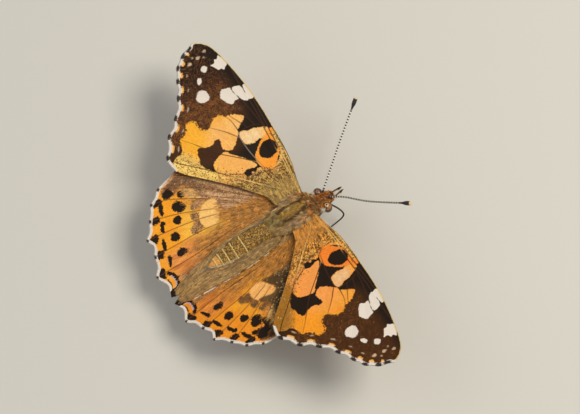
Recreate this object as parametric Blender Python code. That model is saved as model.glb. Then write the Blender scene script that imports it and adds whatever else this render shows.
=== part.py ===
"""Painted lady butterfly (Vanessa cardui), life size, wings spread, standing on four feet.

The body frame has +X towards the head, +Y to the animal's left and +Z up, with its zero at the
forewing hinges. Lengths below are in millimetres, and MM turns them into metres.
"""

import bmesh
import bpy
from math import cos, exp, pi, radians, sin, sqrt
from mathutils import Matrix, Vector

MM = 0.001

# Stance: the hinges' place above the floor, and the origin under the middle of the whole animal
HINGE_HEIGHT = 8.2
ORIGIN_FORWARD = -5.617
ORIGIN_LEFT = 0.099

GAP = 0.3  # air between one part and the part that it grows from

# Membranes: thickness, and how far and how wide the veins rise from both faces
MEMBRANE = 0.5
VEIN_RISE = 0.13
VEIN_HALF_WIDTH = 0.2
STATIONS = 13  # points along each vein

# Body: stations from front to back as (forward, half width, centre height, half height)
THORAX = [
    (1.45, 1.5, -1.15, 1.25),
    (1.1, 1.95, -1.05, 1.7),
    (0.0, 2.45, -0.85, 2.3),
    (-2.0, 2.75, -0.65, 2.65),
    (-4.2, 2.6, -0.6, 2.55),
    (-6.2, 2.0, -0.55, 2.1),
    (-7.3, 1.35, -0.5, 1.5),
]
ABDOMEN_FRONT = -7.6
ABDOMEN_TIP = -19.7
ABDOMEN_RADIUS = 1.9
ABDOMEN_HEIGHT = -0.3
ABDOMEN_RINGS = 8

# The head is held a little to the right of the middle line, and eyes and palps are set out from its own
HEAD_CENTRE = Vector((3.05, -0.3, -1.8))
HEAD_RADII = Vector((1.3, 1.45, 1.45))
EYE_FORWARD = 2.82
EYE_OUT = 1.4
EYE_HEIGHT = -1.95
EYE_RADII = Vector((0.92, 0.85, 1.18))
EYE_GAP = 0.15
BROW_REACH = 0.45
BROW_HALF_WIDTH = 0.85
BROW_HEIGHT = -1.95
BROW_HALF_HEIGHT = 0.75

# Feelers: shaft thickness, and the club's length and thickness
FEELER = 0.5
CLUB_LENGTH = 1.9
CLUB = 0.8
CLUB_TIP = 0.5  # share of the shaft's thickness

# Wings: hinge (forward, out, up), then dihedral, sweep and pitch of each wing in degrees
FORE_HINGE = Vector((0.0, 3.0, 0.0))
HIND_HINGE = Vector((-3.0, 2.6, -1.15))
WING_SET = {
    "forewing_left": (11.8, -1.3, -0.9),
    "forewing_right": (12.7, 1.3, -2.5),
    "hindwing_left": (13.5, 1.9, 0.7),
    "hindwing_right": (14.4, -1.9, 2.6),
}

# Each vein runs from the hinge to a tooth of the margin, as (forward, out) in the wing's plane.
# The last number is where along it the ridge starts, and 2 marks an edge with no ridge.
FORE_VEINS = [
    ("costa", [(0.4, 0.0), (1.6, 4.2), (2.2, 13.0), (1.65, 22.5), (0.0, 29.2), (-2.2, 31.1)], 2),
    ("radius", [(0.0, 0.0), (0.8, 5.0), (0.7, 12.5), (-0.9, 23.5), (-3.35, 30.6)], 0.0),
    ("radius_5", [(-0.4, 0.0), (0.0, 6.0), (-0.2, 14.0), (-2.2, 23.2), (-4.85, 30.2)], 0.45),
    ("media_1", [(-0.8, 0.0), (-0.9, 6.0), (-1.3, 14.4), (-4.2, 22.4), (-6.75, 28.8)], 0.46),
    ("media_2", [(-1.2, 0.0), (-1.7, 6.0), (-2.3, 14.2), (-6.3, 21.8), (-7.95, 26.8)], 0.47),
    ("media_3", [(-1.6, 0.0), (-2.4, 7.0), (-3.2, 13.8), (-6.6, 19.8), (-9.4, 24.2)], 0.49),
    ("cubitus_1", [(-2.0, 0.0), (-3.0, 7.0), (-3.9, 13.0), (-7.4, 17.2), (-11.5, 21.5)], 0.0),
    ("cubitus_2", [(-2.5, 0.0), (-3.9, 7.4), (-8.2, 12.4), (-14.05, 19.4)], 0.3),
    ("anal", [(-3.2, 0.0), (-5.4, 4.4), (-11.5, 11.2), (-16.25, 16.3)], 0.0),
    ("inner_margin", [(-4.0, 0.0), (-7.2, 4.3), (-11.4, 8.7), (-15.9, 13.4)], 2),
]
HIND_VEINS = [
    ("costa", [(0.3, 0.0), (1.4, 4.5), (-0.6, 11.0), (-5.0, 14.5), (-10.0, 15.6)], 2),
    ("radius", [(-0.2, 0.0), (-3.6, 6.5), (-8.0, 11.2), (-13.0, 15.0)], 0.0),
    ("media_1", [(-0.6, 0.0), (-5.0, 6.0), (-10.2, 10.4), (-16.4, 14.5)], 0.3),
    ("media_2", [(-1.0, 0.0), (-6.2, 5.2), (-11.3, 9.0), (-18.9, 12.9)], 0.3),
    ("media_3", [(-1.4, 0.0), (-7.0, 4.4), (-12.6, 7.3), (-20.7, 10.7)], 0.3),
    ("cubitus_1", [(-1.8, 0.0), (-7.6, 3.6), (-14.0, 6.2), (-22.9, 8.2)], 0.0),
    ("cubitus_2", [(-2.2, 0.0), (-8.0, 2.7), (-14.5, 4.3), (-23.4, 5.2)], 0.25),
    ("anal", [(-2.7, 0.0), (-8.5, 1.4), (-16.0, 1.6), (-25.1, 2.1)], 0.0),
    ("crease", [(-3.4, 0.1), (-9.5, 0.3), (-16.0, -0.1), (-24.6, -1.3)], 2),
]
SCALLOP = 0.35  # depth of the margin between two teeth

# The hindwing's inner flap climbs the abdomen's side from the crease, then meets its fellow behind, where
# both lie to the right of the middle line: (forward, out from the line of meeting, up, that line's shift)
FLAP_EDGE = [
    (-7.2, 2.3, -0.7, 0.0), (-9.6, 1.95, 0.8, 0.0), (-13.0, 1.8, 1.3, 0.0), (-16.6, 1.7, 0.8, 0.0),
    (-20.6, 0.3, 0.3, -0.1), (-24.7, 0.24, -0.65, -0.5),
]
FLAP_END = (-24.9, -2.1)  # the anal corner, in the wing's plane
FLAP_BULGE = 0.45

# Legs: path from the thorax to the claws, as (forward, out, up)
LEG_PATHS = {
    "foreleg": [(0.7, 0.8, -3.2), (1.2, 1.0, -3.75), (1.55, 1.15, -4.5), (1.0, 1.2, -5.2), (0.0, 1.15, -5.5)],
    "midleg": [(-0.9, 1.2, -3.35), (-0.6, 2.0, -4.25), (0.5, 6.1, -3.7), (0.1, 8.9, -7.6), (0.0, 12.6, -7.98)],
    "hindleg": [(-3.9, 1.2, -3.2), (-4.3, 2.0, -4.1), (-6.3, 5.6, -3.5), (-9.4, 8.2, -7.6), (-12.3, 10.5, -7.98)],
}
LEG_RADII = {
    "foreleg": [0.38, 0.34, 0.3, 0.28, 0.25],
    "midleg": [0.45, 0.42, 0.34, 0.27, 0.25],
    "hindleg": [0.45, 0.42, 0.34, 0.27, 0.25],
}
FOOT_FLAT = 1.6  # length of each standing foot that lies level on the floor

# Paths of the feelers and proboscis, as (forward, left, up), and of a palp, out from the head's middle
FEELER_PATHS = {
    "left": [(3.75, 0.8, -0.72), (7.8, 3.85, 0.4), (11.45, 6.5, 1.6), (16.85, 10.18, 3.5)],
    "right": [(4.05, -0.9, -0.62), (6.0, -2.85, 1.0), (8.97, -6.45, 2.8), (14.27, -11.78, 6.4)],
}
PALP_PATH = [(4.35, 0.48, -2.95), (4.75, 0.48, -2.9), (5.55, 0.42, -2.5), (6.6, 0.28, -2.1)]
PALP_RADII = [0.34, 0.4, 0.38, 0.14]
PROBOSCIS_RADII = [0.27, 0.25, 0.22]
PROBOSCIS_PATH = [
    (3.35, -0.4, -3.6), (3.6, -0.85, -3.85), (4.3, -2.2, -4.2), (4.7, -3.35, -4.85),
    (4.2, -3.6, -5.5), (3.16, -3.54, -6.4), (1.7, -3.32, -7.6),
]


def material(name, colour, roughness, metallic=0.0):
    """A Principled material of one colour."""
    finish = bpy.data.materials.get(name)
    if finish:
        return finish
    finish = bpy.data.materials.new(name)
    finish.use_nodes = True
    shader = finish.node_tree.nodes["Principled BSDF"]
    shader.inputs["Base Color"].default_value = (*colour, 1.0)
    shader.inputs["Roughness"].default_value = roughness
    shader.inputs["Metallic"].default_value = metallic
    return finish


def smooth_path(points, t):
    """Point at t (0 to 1) of a Catmull-Rom curve through the given points."""
    points = [Vector(p) for p in points]
    ends = [2 * points[0] - points[1], *points, 2 * points[-1] - points[-2]]
    place = min(t, 0.999999) * (len(points) - 1)
    first = int(place)
    s = place - first
    a, b, c, d = ends[first:first + 4]
    return 0.5 * (2 * b + (c - a) * s + (2 * a - 5 * b + 4 * c - d) * s**2 + (3 * b - 3 * c + d - a) * s**3)


def finish_object(name, mesh, look, parts, root, matrix=None):
    """Puts a mesh in the butterfly's collection, under the empty that stands at the hinges."""
    mesh.shade_smooth()
    mesh.set_sharp_from_angle(angle=radians(40))
    mesh.materials.append(look)
    obj = bpy.data.objects.new(name, mesh)
    parts.objects.link(obj)
    obj.parent = root
    if matrix:
        obj.matrix_local = matrix
    return obj


def mesh_from_rings(name, rings):
    """Closed skin over rings of equal count, capped at both ends."""
    shape = bmesh.new()
    rows = [[shape.verts.new(point) for point in ring] for ring in rings]
    count = len(rows[0])
    for near, far in zip(rows, rows[1:]):
        for i in range(count):
            k = (i + 1) % count
            shape.faces.new((near[i], near[k], far[k], far[i]))
    shape.faces.new(rows[0][::-1])
    shape.faces.new(rows[-1])
    bmesh.ops.recalc_face_normals(shape, faces=shape.faces)
    bmesh.ops.triangulate(shape, faces=shape.faces)
    mesh = bpy.data.meshes.new(name)
    shape.to_mesh(mesh)
    shape.free()
    return mesh


def body_ring(forward, half_width, height, half_height, sides=22):
    """One oval section across the body."""
    turns = [2 * pi * i / sides for i in range(sides)]
    return [
        Vector((forward, half_width * cos(a), height + half_height * sin(a))) * MM for a in turns
    ]


def tube_rings(path, radii, steps, sides=8, floor=None):
    """Round sections along a smooth path, flattened on the floor where they would pass it."""
    rings = []
    last = Vector((0, 0, 1))
    for k in range(steps + 1):
        t = k / steps
        here = smooth_path(path, t)
        ahead = (smooth_path(path, min(t + 0.01, 1)) - smooth_path(path, max(t - 0.01, 0))).normalized()
        side = ahead.cross(last).normalized()
        last = side.cross(ahead).normalized()
        place = t * (len(radii) - 1)
        first = min(int(place), len(radii) - 2)
        radius = radii[first] + (radii[first + 1] - radii[first]) * (place - first)
        ring = []
        for i in range(sides):
            a = 2 * pi * (i + 0.5) / sides
            point = here + radius * (side * cos(a) + last * sin(a))
            if floor is not None:
                point.z = max(point.z, floor)
            ring.append(point * MM)
        rings.append(ring)
    return rings


def thorax_section(forward):
    """Half width, centre height and half height of the thorax at a station."""
    for near, far in zip(THORAX, THORAX[1:]):
        if far[0] <= forward <= near[0]:
            s = (near[0] - forward) / (near[0] - far[0])
            return [n + (f - n) * s for n, f in zip(near[1:], far[1:])]
    return list(THORAX[0 if forward > 0 else -1][1:])


def thorax_side(forward, up):
    """Distance from the middle to the thorax's side at a station and height."""
    half_width, height, half_height = thorax_section(forward)
    level = min(0.95, abs(up - height) / half_height)
    return half_width * sqrt(1 - level**2)


def build_thorax(parts, root):
    """The wing and leg bearing middle of the body."""
    steps = 16
    rings = []
    for k in range(steps + 1):
        forward, half_width, height, half_height = smooth_path_rows(THORAX, k / steps)
        rings.append(body_ring(forward, half_width, height, half_height))
    look = material("olive brown hair", (0.2, 0.12, 0.045), 0.85)
    return finish_object("thorax", mesh_from_rings("thorax", rings), look, parts, root)


def smooth_path_rows(rows, t):
    """Smooth values at t (0 to 1) through rows of four numbers."""
    first_half = smooth_path([row[:2] + (0,) for row in rows], t)
    second_half = smooth_path([row[2:] + (0,) for row in rows], t)
    return first_half.x, first_half.y, second_half.x, second_half.y


def build_abdomen(parts, root):
    """A spindle of rings, each a little wider at its hind edge than the next one's front."""
    length = ABDOMEN_FRONT - ABDOMEN_TIP
    rings = []
    for k in range(ABDOMEN_RINGS):
        for along, swell in ((0.0, 0.97), (0.5, 1.0), (0.97, 1.01)):
            s = (k + along) / ABDOMEN_RINGS
            spindle = sin(pi * (0.21 + 0.79 * s**1.15)) ** 0.72
            radius = ABDOMEN_RADIUS * max(spindle, 0.12) * swell
            lift = 0.35 * s**2
            rings.append(body_ring(ABDOMEN_FRONT - length * s, radius, ABDOMEN_HEIGHT + lift, radius * 1.02))
    rings.append(body_ring(ABDOMEN_TIP, 0.12, ABDOMEN_HEIGHT + 0.35, 0.12))
    look = material("dark olive abdomen", (0.12, 0.08, 0.035), 0.8)
    return finish_object("abdomen", mesh_from_rings("abdomen", rings), look, parts, root)


def ellipsoid(name, centre, radii, around, along):
    """A round form of the given radii."""
    shape = bmesh.new()
    bmesh.ops.create_uvsphere(shape, u_segments=around, v_segments=along, radius=1.0)
    for corner in shape.verts:
        corner.co = (centre + Vector(c * r for c, r in zip(corner.co, radii))) * MM
    mesh = bpy.data.meshes.new(name)
    shape.to_mesh(mesh)
    shape.free()
    return mesh


def eye_centre(side):
    """The middle of the eye on one side of the head."""
    return Vector((EYE_FORWARD, HEAD_CENTRE.y + side * EYE_OUT, EYE_HEIGHT))


def head_form():
    """The head's round form, with its front drawn out between the eyes into a low rounded brow."""
    mesh = ellipsoid("head", HEAD_CENTRE, HEAD_RADII, 28, 20)
    for corner in mesh.vertices:
        forward, left, up = corner.co / MM
        ahead = max(0.0, (forward - HEAD_CENTRE.x) / HEAD_RADII.x)
        across = max(0.0, 1 - ((left - HEAD_CENTRE.y) / BROW_HALF_WIDTH) ** 2)
        level = exp(-(((up - BROW_HEIGHT) / BROW_HALF_HEIGHT) ** 2))
        corner.co.x += BROW_REACH * ahead * across * level * MM
    return mesh


def build_head(parts, cutters, root):
    """The head, hollowed on each side to hold an eye."""
    look = material("rusty hair", (0.3, 0.12, 0.035), 0.85)
    head = finish_object("head", head_form(), look, parts, root)
    for name, side in (("left", 1), ("right", -1)):
        grown = EYE_RADII + Vector((EYE_GAP, EYE_GAP, EYE_GAP))
        centre = eye_centre(side)
        socket = bpy.data.objects.new(f"socket_{name}", ellipsoid(f"socket_{name}", centre, grown, 24, 16))
        cutters.objects.link(socket)
        socket.parent = root
        socket.display_type = "WIRE"
        socket.hide_render = True
        cut = head.modifiers.new(f"eye socket {name}", "BOOLEAN")
        cut.operation = "DIFFERENCE"
        cut.object = socket


def build_eyes(parts, root):
    """The two large round eyes, each set in its hollow of the head."""
    look = material("brown eye", (0.14, 0.07, 0.03), 0.3)
    for name, side in (("left", 1), ("right", -1)):
        centre = eye_centre(side)
        finish_object(f"eye_{name}", ellipsoid(f"eye_{name}", centre, EYE_RADII, 20, 14), look, parts, root)


def club_swell(along, club_start):
    """How much thicker than its shaft a feeler is at a place along it (0 to 1)."""
    into_club = max(0.0, (along - club_start) / (1 - club_start))
    if into_club > 0.99:
        return CLUB_TIP
    if into_club > 0.8:
        return 1.0
    return 1 + (CLUB / FEELER - 1) * sin(pi * min(1.0, 1.25 * into_club))


def build_feelers(parts, root):
    """Two long straight feelers, each ending in a slim club."""
    look = material("black and white feeler", (0.03, 0.027, 0.025), 0.5)
    for name, path in FEELER_PATHS.items():
        length = (Vector(path[-1]) - Vector(path[0])).length
        rings = tube_rings(path, [FEELER / 2, FEELER / 2], 26)
        for k, ring in enumerate(rings):
            size = club_swell(k / (len(rings) - 1), 1 - CLUB_LENGTH / length)
            middle = sum(ring, Vector()) / len(ring)
            rings[k] = [middle + (point - middle) * size for point in ring]
        finish_object(f"antenna_{name}", mesh_from_rings(f"antenna_{name}", rings), look, parts, root)


def build_palps(parts, root):
    """The pair of furred palps that stand out in front of the face."""
    look = material("rusty palp", (0.34, 0.16, 0.06), 0.8)
    for name, side in (("left", 1), ("right", -1)):
        rings = tube_rings([(x, HEAD_CENTRE.y + side * y, z) for x, y, z in PALP_PATH], PALP_RADII, 12)
        finish_object(f"palp_{name}", mesh_from_rings(f"palp_{name}", rings), look, parts, root)


def build_proboscis(parts, root):
    """The long sucking tongue, let down to just above the floor."""
    look = material("black proboscis", (0.02, 0.017, 0.015), 0.35)
    rings = tube_rings(PROBOSCIS_PATH, PROBOSCIS_RADII, 24)
    finish_object("proboscis", mesh_from_rings("proboscis", rings), look, parts, root)


def build_legs(parts, root):
    """Four standing legs and the two small forelegs, which are folded under the breast."""
    look = material("pale brown leg", (0.33, 0.24, 0.14), 0.7)
    for leg, path in LEG_PATHS.items():
        for name, side in (("left", 1), ("right", -1)):
            route = leg_route(leg, [Vector((x, side * y, z)) for x, y, z in path])
            rings = tube_rings(route, LEG_RADII[leg], 6 * (len(route) - 1), floor=-HINGE_HEIGHT)
            finish_object(f"{leg}_{name}", mesh_from_rings(f"{leg}_{name}", rings), look, parts, root)


def leg_route(leg, path):
    """A leg's path, with a standing foot made level for its last stretch."""
    if leg == "foreleg":
        return path
    toe = path[-1].copy()
    heel = path[-2]
    back = Vector((heel.x - toe.x, heel.y - toe.y, 0)).normalized()
    return path[:-1] + [toe + back * FOOT_FLAT, toe]


def wing_matrix(name):
    """Where a wing's own plane lies in the body frame."""
    side = 1 if name.endswith("left") else -1
    hinge = FORE_HINGE if name.startswith("fore") else HIND_HINGE
    dihedral, sweep, pitch = (radians(a) for a in WING_SET[name])
    turn = Matrix.Rotation(-pitch, 4, "Y") @ Matrix.Rotation(side * dihedral, 4, "X")
    turn = turn @ Matrix.Rotation(side * sweep, 4, "Z")
    return Matrix.Translation(Vector((hinge.x, side * hinge.y, hinge.z)) * MM) @ turn


def vein_lines(name, matrix, side):
    """The wing's main lines, from the first edge to the last, as (points, ridge start)."""
    fore = name.startswith("fore")
    veins = FORE_VEINS if fore else HIND_VEINS
    hinge = FORE_HINGE if fore else HIND_HINGE
    lines = []
    for _, path, ridge in veins:
        root_forward = hinge.x + path[0][0]
        path = [(forward, out, 0.0) for forward, out in path]
        path[0] = (path[0][0], thorax_side(root_forward, hinge.z) + GAP - hinge.y, 0.0)
        points = [smooth_path(path, k / (STATIONS - 1)) for k in range(STATIONS)]
        lines.append(([Vector((p.x, side * p.y, p.z)) for p in points], ridge))
    if not fore:
        to_wing = matrix.inverted()
        edge = [to_wing @ (Vector((x, side * y + shift, z)) * MM) / MM for x, y, z, shift in FLAP_EDGE]
        edge.append(Vector((FLAP_END[0], side * FLAP_END[1], 0.0)))
        edge = [smooth_path(edge, k / (STATIONS - 1)) for k in range(STATIONS)]
        crease = lines[-1][0]
        middle = []
        for k, (outer, inner) in enumerate(zip(crease, edge)):
            bulge = FLAP_BULGE * sin(pi * k / (STATIONS - 1))
            middle.append((outer + inner) / 2 + Vector((0, side * bulge, 0)))
        lines.append((middle, 2))
        lines.append((edge, 2))
    return lines


def wing_columns(lines):
    """Grid columns across the wing: each ridged vein as foot, crest and foot, and one between."""
    columns = []
    for index, (line, ridge) in enumerate(lines):
        if index:
            before, ridge_before = lines[index - 1]
            tooth_gap = (line[-1] - before[-1]).length
            halfway = []
            for k, (a, b) in enumerate(zip(before, line)):
                dip = SCALLOP * (k / (STATIONS - 1)) ** 10 * min(1.0, tooth_gap / 3)
                inward = (line[-2] + before[-2] - line[-1] - before[-1]).normalized()
                halfway.append(((a + b) / 2 + inward * dip, 0.0))
            columns.append(halfway)
        neighbours = []
        if ridge < 2:
            neighbours = [lines[index - 1][0], lines[index + 1][0]]
        feet = []
        for neighbour in neighbours:
            foot = []
            for here, there in zip(line, neighbour):
                across = there - here
                foot.append((here + across.normalized() * min(VEIN_HALF_WIDTH, 0.3 * across.length), 0.0))
            feet.append(foot)
        crest = []
        for k, here in enumerate(line):
            along = k / (STATIONS - 1)
            rise = VEIN_RISE * (1 - 0.5 * along) if ridge <= along < 0.97 else 0.0
            crest.append((here, rise))
        if feet:
            columns += [feet[0], crest, feet[1]]
        else:
            columns.append(crest)
    return columns


def build_wing(name, parts, root):
    """A thin membrane with its veins raised from both faces and a scalloped outer margin."""
    side = 1 if name.endswith("left") else -1
    matrix = wing_matrix(name)
    columns = wing_columns(vein_lines(name, matrix, side))
    width = len(columns)
    height = STATIONS
    faces_of = []
    for face in (1, -1):
        sheet = []
        for i, column in enumerate(columns):
            left = columns[max(i - 1, 0)]
            right = columns[min(i + 1, width - 1)]
            row = []
            for k, (here, rise) in enumerate(column):
                along = column[min(k + 1, height - 1)][0] - column[max(k - 1, 0)][0]
                across = left[k][0] - right[k][0]
                up = across.cross(along).normalized()
                if up.z < 0:
                    up = -up
                row.append((here + up * face * (MEMBRANE / 2 + rise)) * MM)
            sheet.append(row)
        faces_of.append(sheet)
    shape = bmesh.new()
    top, under = ([[shape.verts.new(p) for p in row] for row in sheet] for sheet in faces_of)
    for i in range(width - 1):
        for k in range(height - 1):
            corners = ((i, k), (i + 1, k), (i + 1, k + 1), (i, k + 1))
            for a, b, c in ((0, 1, 2), (0, 2, 3)):
                trio = [corners[a], corners[b], corners[c]]
                shape.faces.new([top[p][q] for p, q in trio])
                shape.faces.new([under[p][q] for p, q in reversed(trio)])
    rim = [(i, 0) for i in range(width)] + [(width - 1, k) for k in range(1, height)]
    rim += [(i, height - 1) for i in range(width - 2, -1, -1)] + [(0, k) for k in range(height - 2, 0, -1)]
    for (a, b), (c, d) in zip(rim, rim[1:] + rim[:1]):
        shape.faces.new((top[c][d], top[a][b], under[a][b]))
        shape.faces.new((top[c][d], under[a][b], under[c][d]))
    bmesh.ops.recalc_face_normals(shape, faces=shape.faces)
    mesh = bpy.data.meshes.new(name)
    shape.to_mesh(mesh)
    shape.free()
    look = material("orange and brown wing", (0.55, 0.22, 0.04), 0.7)
    return finish_object(name, mesh, look, parts, root, matrix)


def main():
    """Builds every part under one empty at the forewing hinges."""
    for obj in list(bpy.data.objects):
        bpy.data.objects.remove(obj)
    parts = bpy.data.collections.new("painted_lady")
    cutters = bpy.data.collections.new("cutters")
    bpy.context.scene.collection.children.link(parts)
    bpy.context.scene.collection.children.link(cutters)
    root = bpy.data.objects.new("hinge_line", None)
    parts.objects.link(root)
    root.location = Vector((-ORIGIN_FORWARD, -ORIGIN_LEFT, HINGE_HEIGHT)) * MM
    build_thorax(parts, root)
    build_abdomen(parts, root)
    build_head(parts, cutters, root)
    build_eyes(parts, root)
    build_feelers(parts, root)
    build_palps(parts, root)
    build_proboscis(parts, root)
    build_legs(parts, root)
    for name in WING_SET:
        build_wing(name, parts, root)


main()
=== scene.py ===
from math import cos, pi, radians, sin

import bpy
import numpy as np
from mathutils import Matrix


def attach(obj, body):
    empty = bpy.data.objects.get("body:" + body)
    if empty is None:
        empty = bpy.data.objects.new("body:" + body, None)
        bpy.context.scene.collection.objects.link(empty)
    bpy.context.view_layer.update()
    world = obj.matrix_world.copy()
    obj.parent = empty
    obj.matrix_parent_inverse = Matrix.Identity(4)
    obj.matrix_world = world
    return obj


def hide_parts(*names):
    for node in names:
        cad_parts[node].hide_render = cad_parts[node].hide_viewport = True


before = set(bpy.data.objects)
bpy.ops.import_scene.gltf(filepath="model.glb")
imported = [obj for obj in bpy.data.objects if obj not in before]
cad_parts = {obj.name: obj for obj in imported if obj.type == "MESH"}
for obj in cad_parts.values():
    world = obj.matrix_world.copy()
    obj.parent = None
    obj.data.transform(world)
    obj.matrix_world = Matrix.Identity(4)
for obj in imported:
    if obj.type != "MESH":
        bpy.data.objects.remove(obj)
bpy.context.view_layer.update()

# The place of the animal
# A painted lady butterfly rests with its wings laid open. Its own frame has +X towards the head, +Y to
# its left and +Z up, in millimetres, with the zero midway between the hinges of the forewings.
MM = 0.001
HINGES_ABOVE_FLOOR = np.array([5.617, -0.099, 8.2])


def place(points):
    """Metres above the floor from millimetres in the animal's frame: (point + hinges) x 0.001."""
    return (np.asarray(points, float) + HINGES_ABOVE_FLOOR) * MM


# The camera and the room
# The camera looks steeply down on the animal from its right and rear, with the long side of the picture
# turned against the body. A wide pale floor and soft lamps are the room.
LEAN = radians(18.0)
NOD = radians(2.594)
TURN = radians(-32.696)
CAMERA_DISTANCE = 500.0
FRAME_WIDTH = 98.31
AIM_RIGHT = -2.837
AIM_UP = -0.432
SENSOR_WIDTH = 36.0

lean_left = np.array([0.0, cos(LEAN), sin(LEAN)])
lean_up = np.array([0.0, -sin(LEAN), cos(LEAN)])
view_ahead = np.array([cos(NOD), 0.0, 0.0]) + sin(NOD) * lean_up
view_back = cos(NOD) * lean_up - np.array([sin(NOD), 0.0, 0.0])
view_right = cos(TURN) * view_ahead + sin(TURN) * lean_left
view_up = -sin(TURN) * view_ahead + cos(TURN) * lean_left

camera = bpy.data.objects.new("camera", bpy.data.cameras.new("camera"))
bpy.context.scene.collection.objects.link(camera)
camera.data.sensor_width = SENSOR_WIDTH
camera.data.lens = SENSOR_WIDTH * CAMERA_DISTANCE / FRAME_WIDTH
camera.data.clip_start = 0.01
camera.data.clip_end = 20.0
aim = AIM_RIGHT * view_right + AIM_UP * view_up
turned = np.eye(4)
turned[:3, :3] = np.stack([view_right, view_up, view_back], axis=1)
turned[:3, 3] = place(aim + CAMERA_DISTANCE * view_back)
camera.matrix_world = Matrix(turned.tolist())
bpy.context.scene.camera = camera
bpy.context.scene.view_settings.view_transform = "Standard"


def tone(red, green, blue):
    """Linear light from a screen colour of 0 to 255: ((c/255 + 0.055)/1.055)^2.4, or c/255/12.92 when dark."""
    shares = np.array([red, green, blue]) / 255
    return np.where(shares > 0.04045, ((shares + 0.055) / 1.055) ** 2.4, shares / 12.92)


def lamp(name, size, power, where, colour):
    """A square soft lamp that faces the animal: its back axis runs from the hinges to the lamp."""
    data = bpy.data.lights.new(name, "AREA")
    data.size = size
    data.energy = power
    data.color = colour
    holder = bpy.data.objects.new(name, data)
    bpy.context.scene.collection.objects.link(holder)
    back = np.array(where) / np.linalg.norm(where)
    side = np.cross([0.0, 0.0, 1.0], back)
    side /= np.linalg.norm(side)
    pose = np.eye(4)
    pose[:3, :3] = np.stack([side, np.cross(back, side), back], axis=1)
    pose[:3, 3] = place(where)
    holder.matrix_world = Matrix(pose.tolist())


FLOOR_RADIUS = 3.0
FLOOR_SIDES = 96
turn = np.linspace(0, 2 * pi, FLOOR_SIDES, endpoint=False)
floor_mesh = bpy.data.meshes.new("floor")
floor_ring = np.stack([FLOOR_RADIUS * np.cos(turn), FLOOR_RADIUS * np.sin(turn), 0 * turn], axis=1)
floor_mesh.from_pydata(floor_ring.tolist(), [], [list(range(FLOOR_SIDES))])
floor = bpy.data.objects.new("floor", floor_mesh)
bpy.context.scene.collection.objects.link(floor)
floor_look = bpy.data.materials.new("pale_floor")
floor_look.use_nodes = True
floor_shader = floor_look.node_tree.nodes["Principled BSDF"]
floor_shader.inputs["Base Color"].default_value = (0.62, 0.61, 0.585, 1)
floor_shader.inputs["Roughness"].default_value = 0.9
floor_mesh.materials.append(floor_look)

lamp("key_lamp", 0.24, 2.75, (300.0, -150.0, 470.0), (1.0, 0.93, 0.79))
lamp("fill_lamp", 0.6, 1.0, (-360.0, 420.0, 400.0), (0.98, 0.97, 0.95))
lamp("rear_lamp", 0.5, 0.5, (-520.0, -120.0, 260.0), (1.0, 0.97, 0.9))
room = bpy.data.worlds.new("room")
room.use_nodes = True
room.node_tree.nodes["Background"].inputs["Color"].default_value = (0.96, 0.96, 0.94, 1)
room.node_tree.nodes["Background"].inputs["Strength"].default_value = 0.3
bpy.context.scene.world = room

# The forewings
# Each is a dry membrane on branching veins, shingled on both faces with scales of one colour each. The
# scales make an orange field, a black-brown tip with white marks and a gilt base. It hangs in a socket
# of the thorax. Places in the wing's own plane are (forward, out) from its hinge, in millimetres.
FORE_HINGE = (0.0, 3.0, 0.0)
FORE_SET = {"left": (11.8, -1.3, -0.9), "right": (12.7, 1.3, -2.5)}
FORE_LEAD = [
    (0.5, -0.9), (1.0, 2.0), (1.6, 4.2), (1.95, 7.0), (2.12, 10.0), (2.2, 13.0), (2.2, 16.0),
    (2.0, 19.5), (1.65, 22.5), (1.2, 25.0), (0.65, 27.5), (0.0, 29.2), (-1.0, 30.3), (-1.9, 30.9),
]
FORE_TRAIL = [
    (-4.3, -0.9), (-5.0, 1.6), (-7.0, 4.1), (-9.0, 6.3), (-11.0, 8.3), (-13.0, 10.2), (-15.0, 12.1),
    (-15.9, 13.3),
]
FORE_MARGIN = [
    (-1.9, 30.9), (-2.4, 31.0), (-3.35, 30.6), (-4.0, 30.45), (-4.85, 30.2), (-5.8, 29.35),
    (-6.75, 28.75), (-7.25, 27.6), (-7.95, 26.8), (-8.4, 25.3), (-9.4, 24.2), (-10.0, 22.7),
    (-11.5, 21.5), (-12.4, 20.2), (-14.05, 19.4), (-15.0, 17.5), (-16.2, 16.3), (-16.3, 14.8),
    (-15.9, 13.3),
]
FORE_TEETH = [2, 4, 6, 8, 10, 12, 14, 16]
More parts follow.
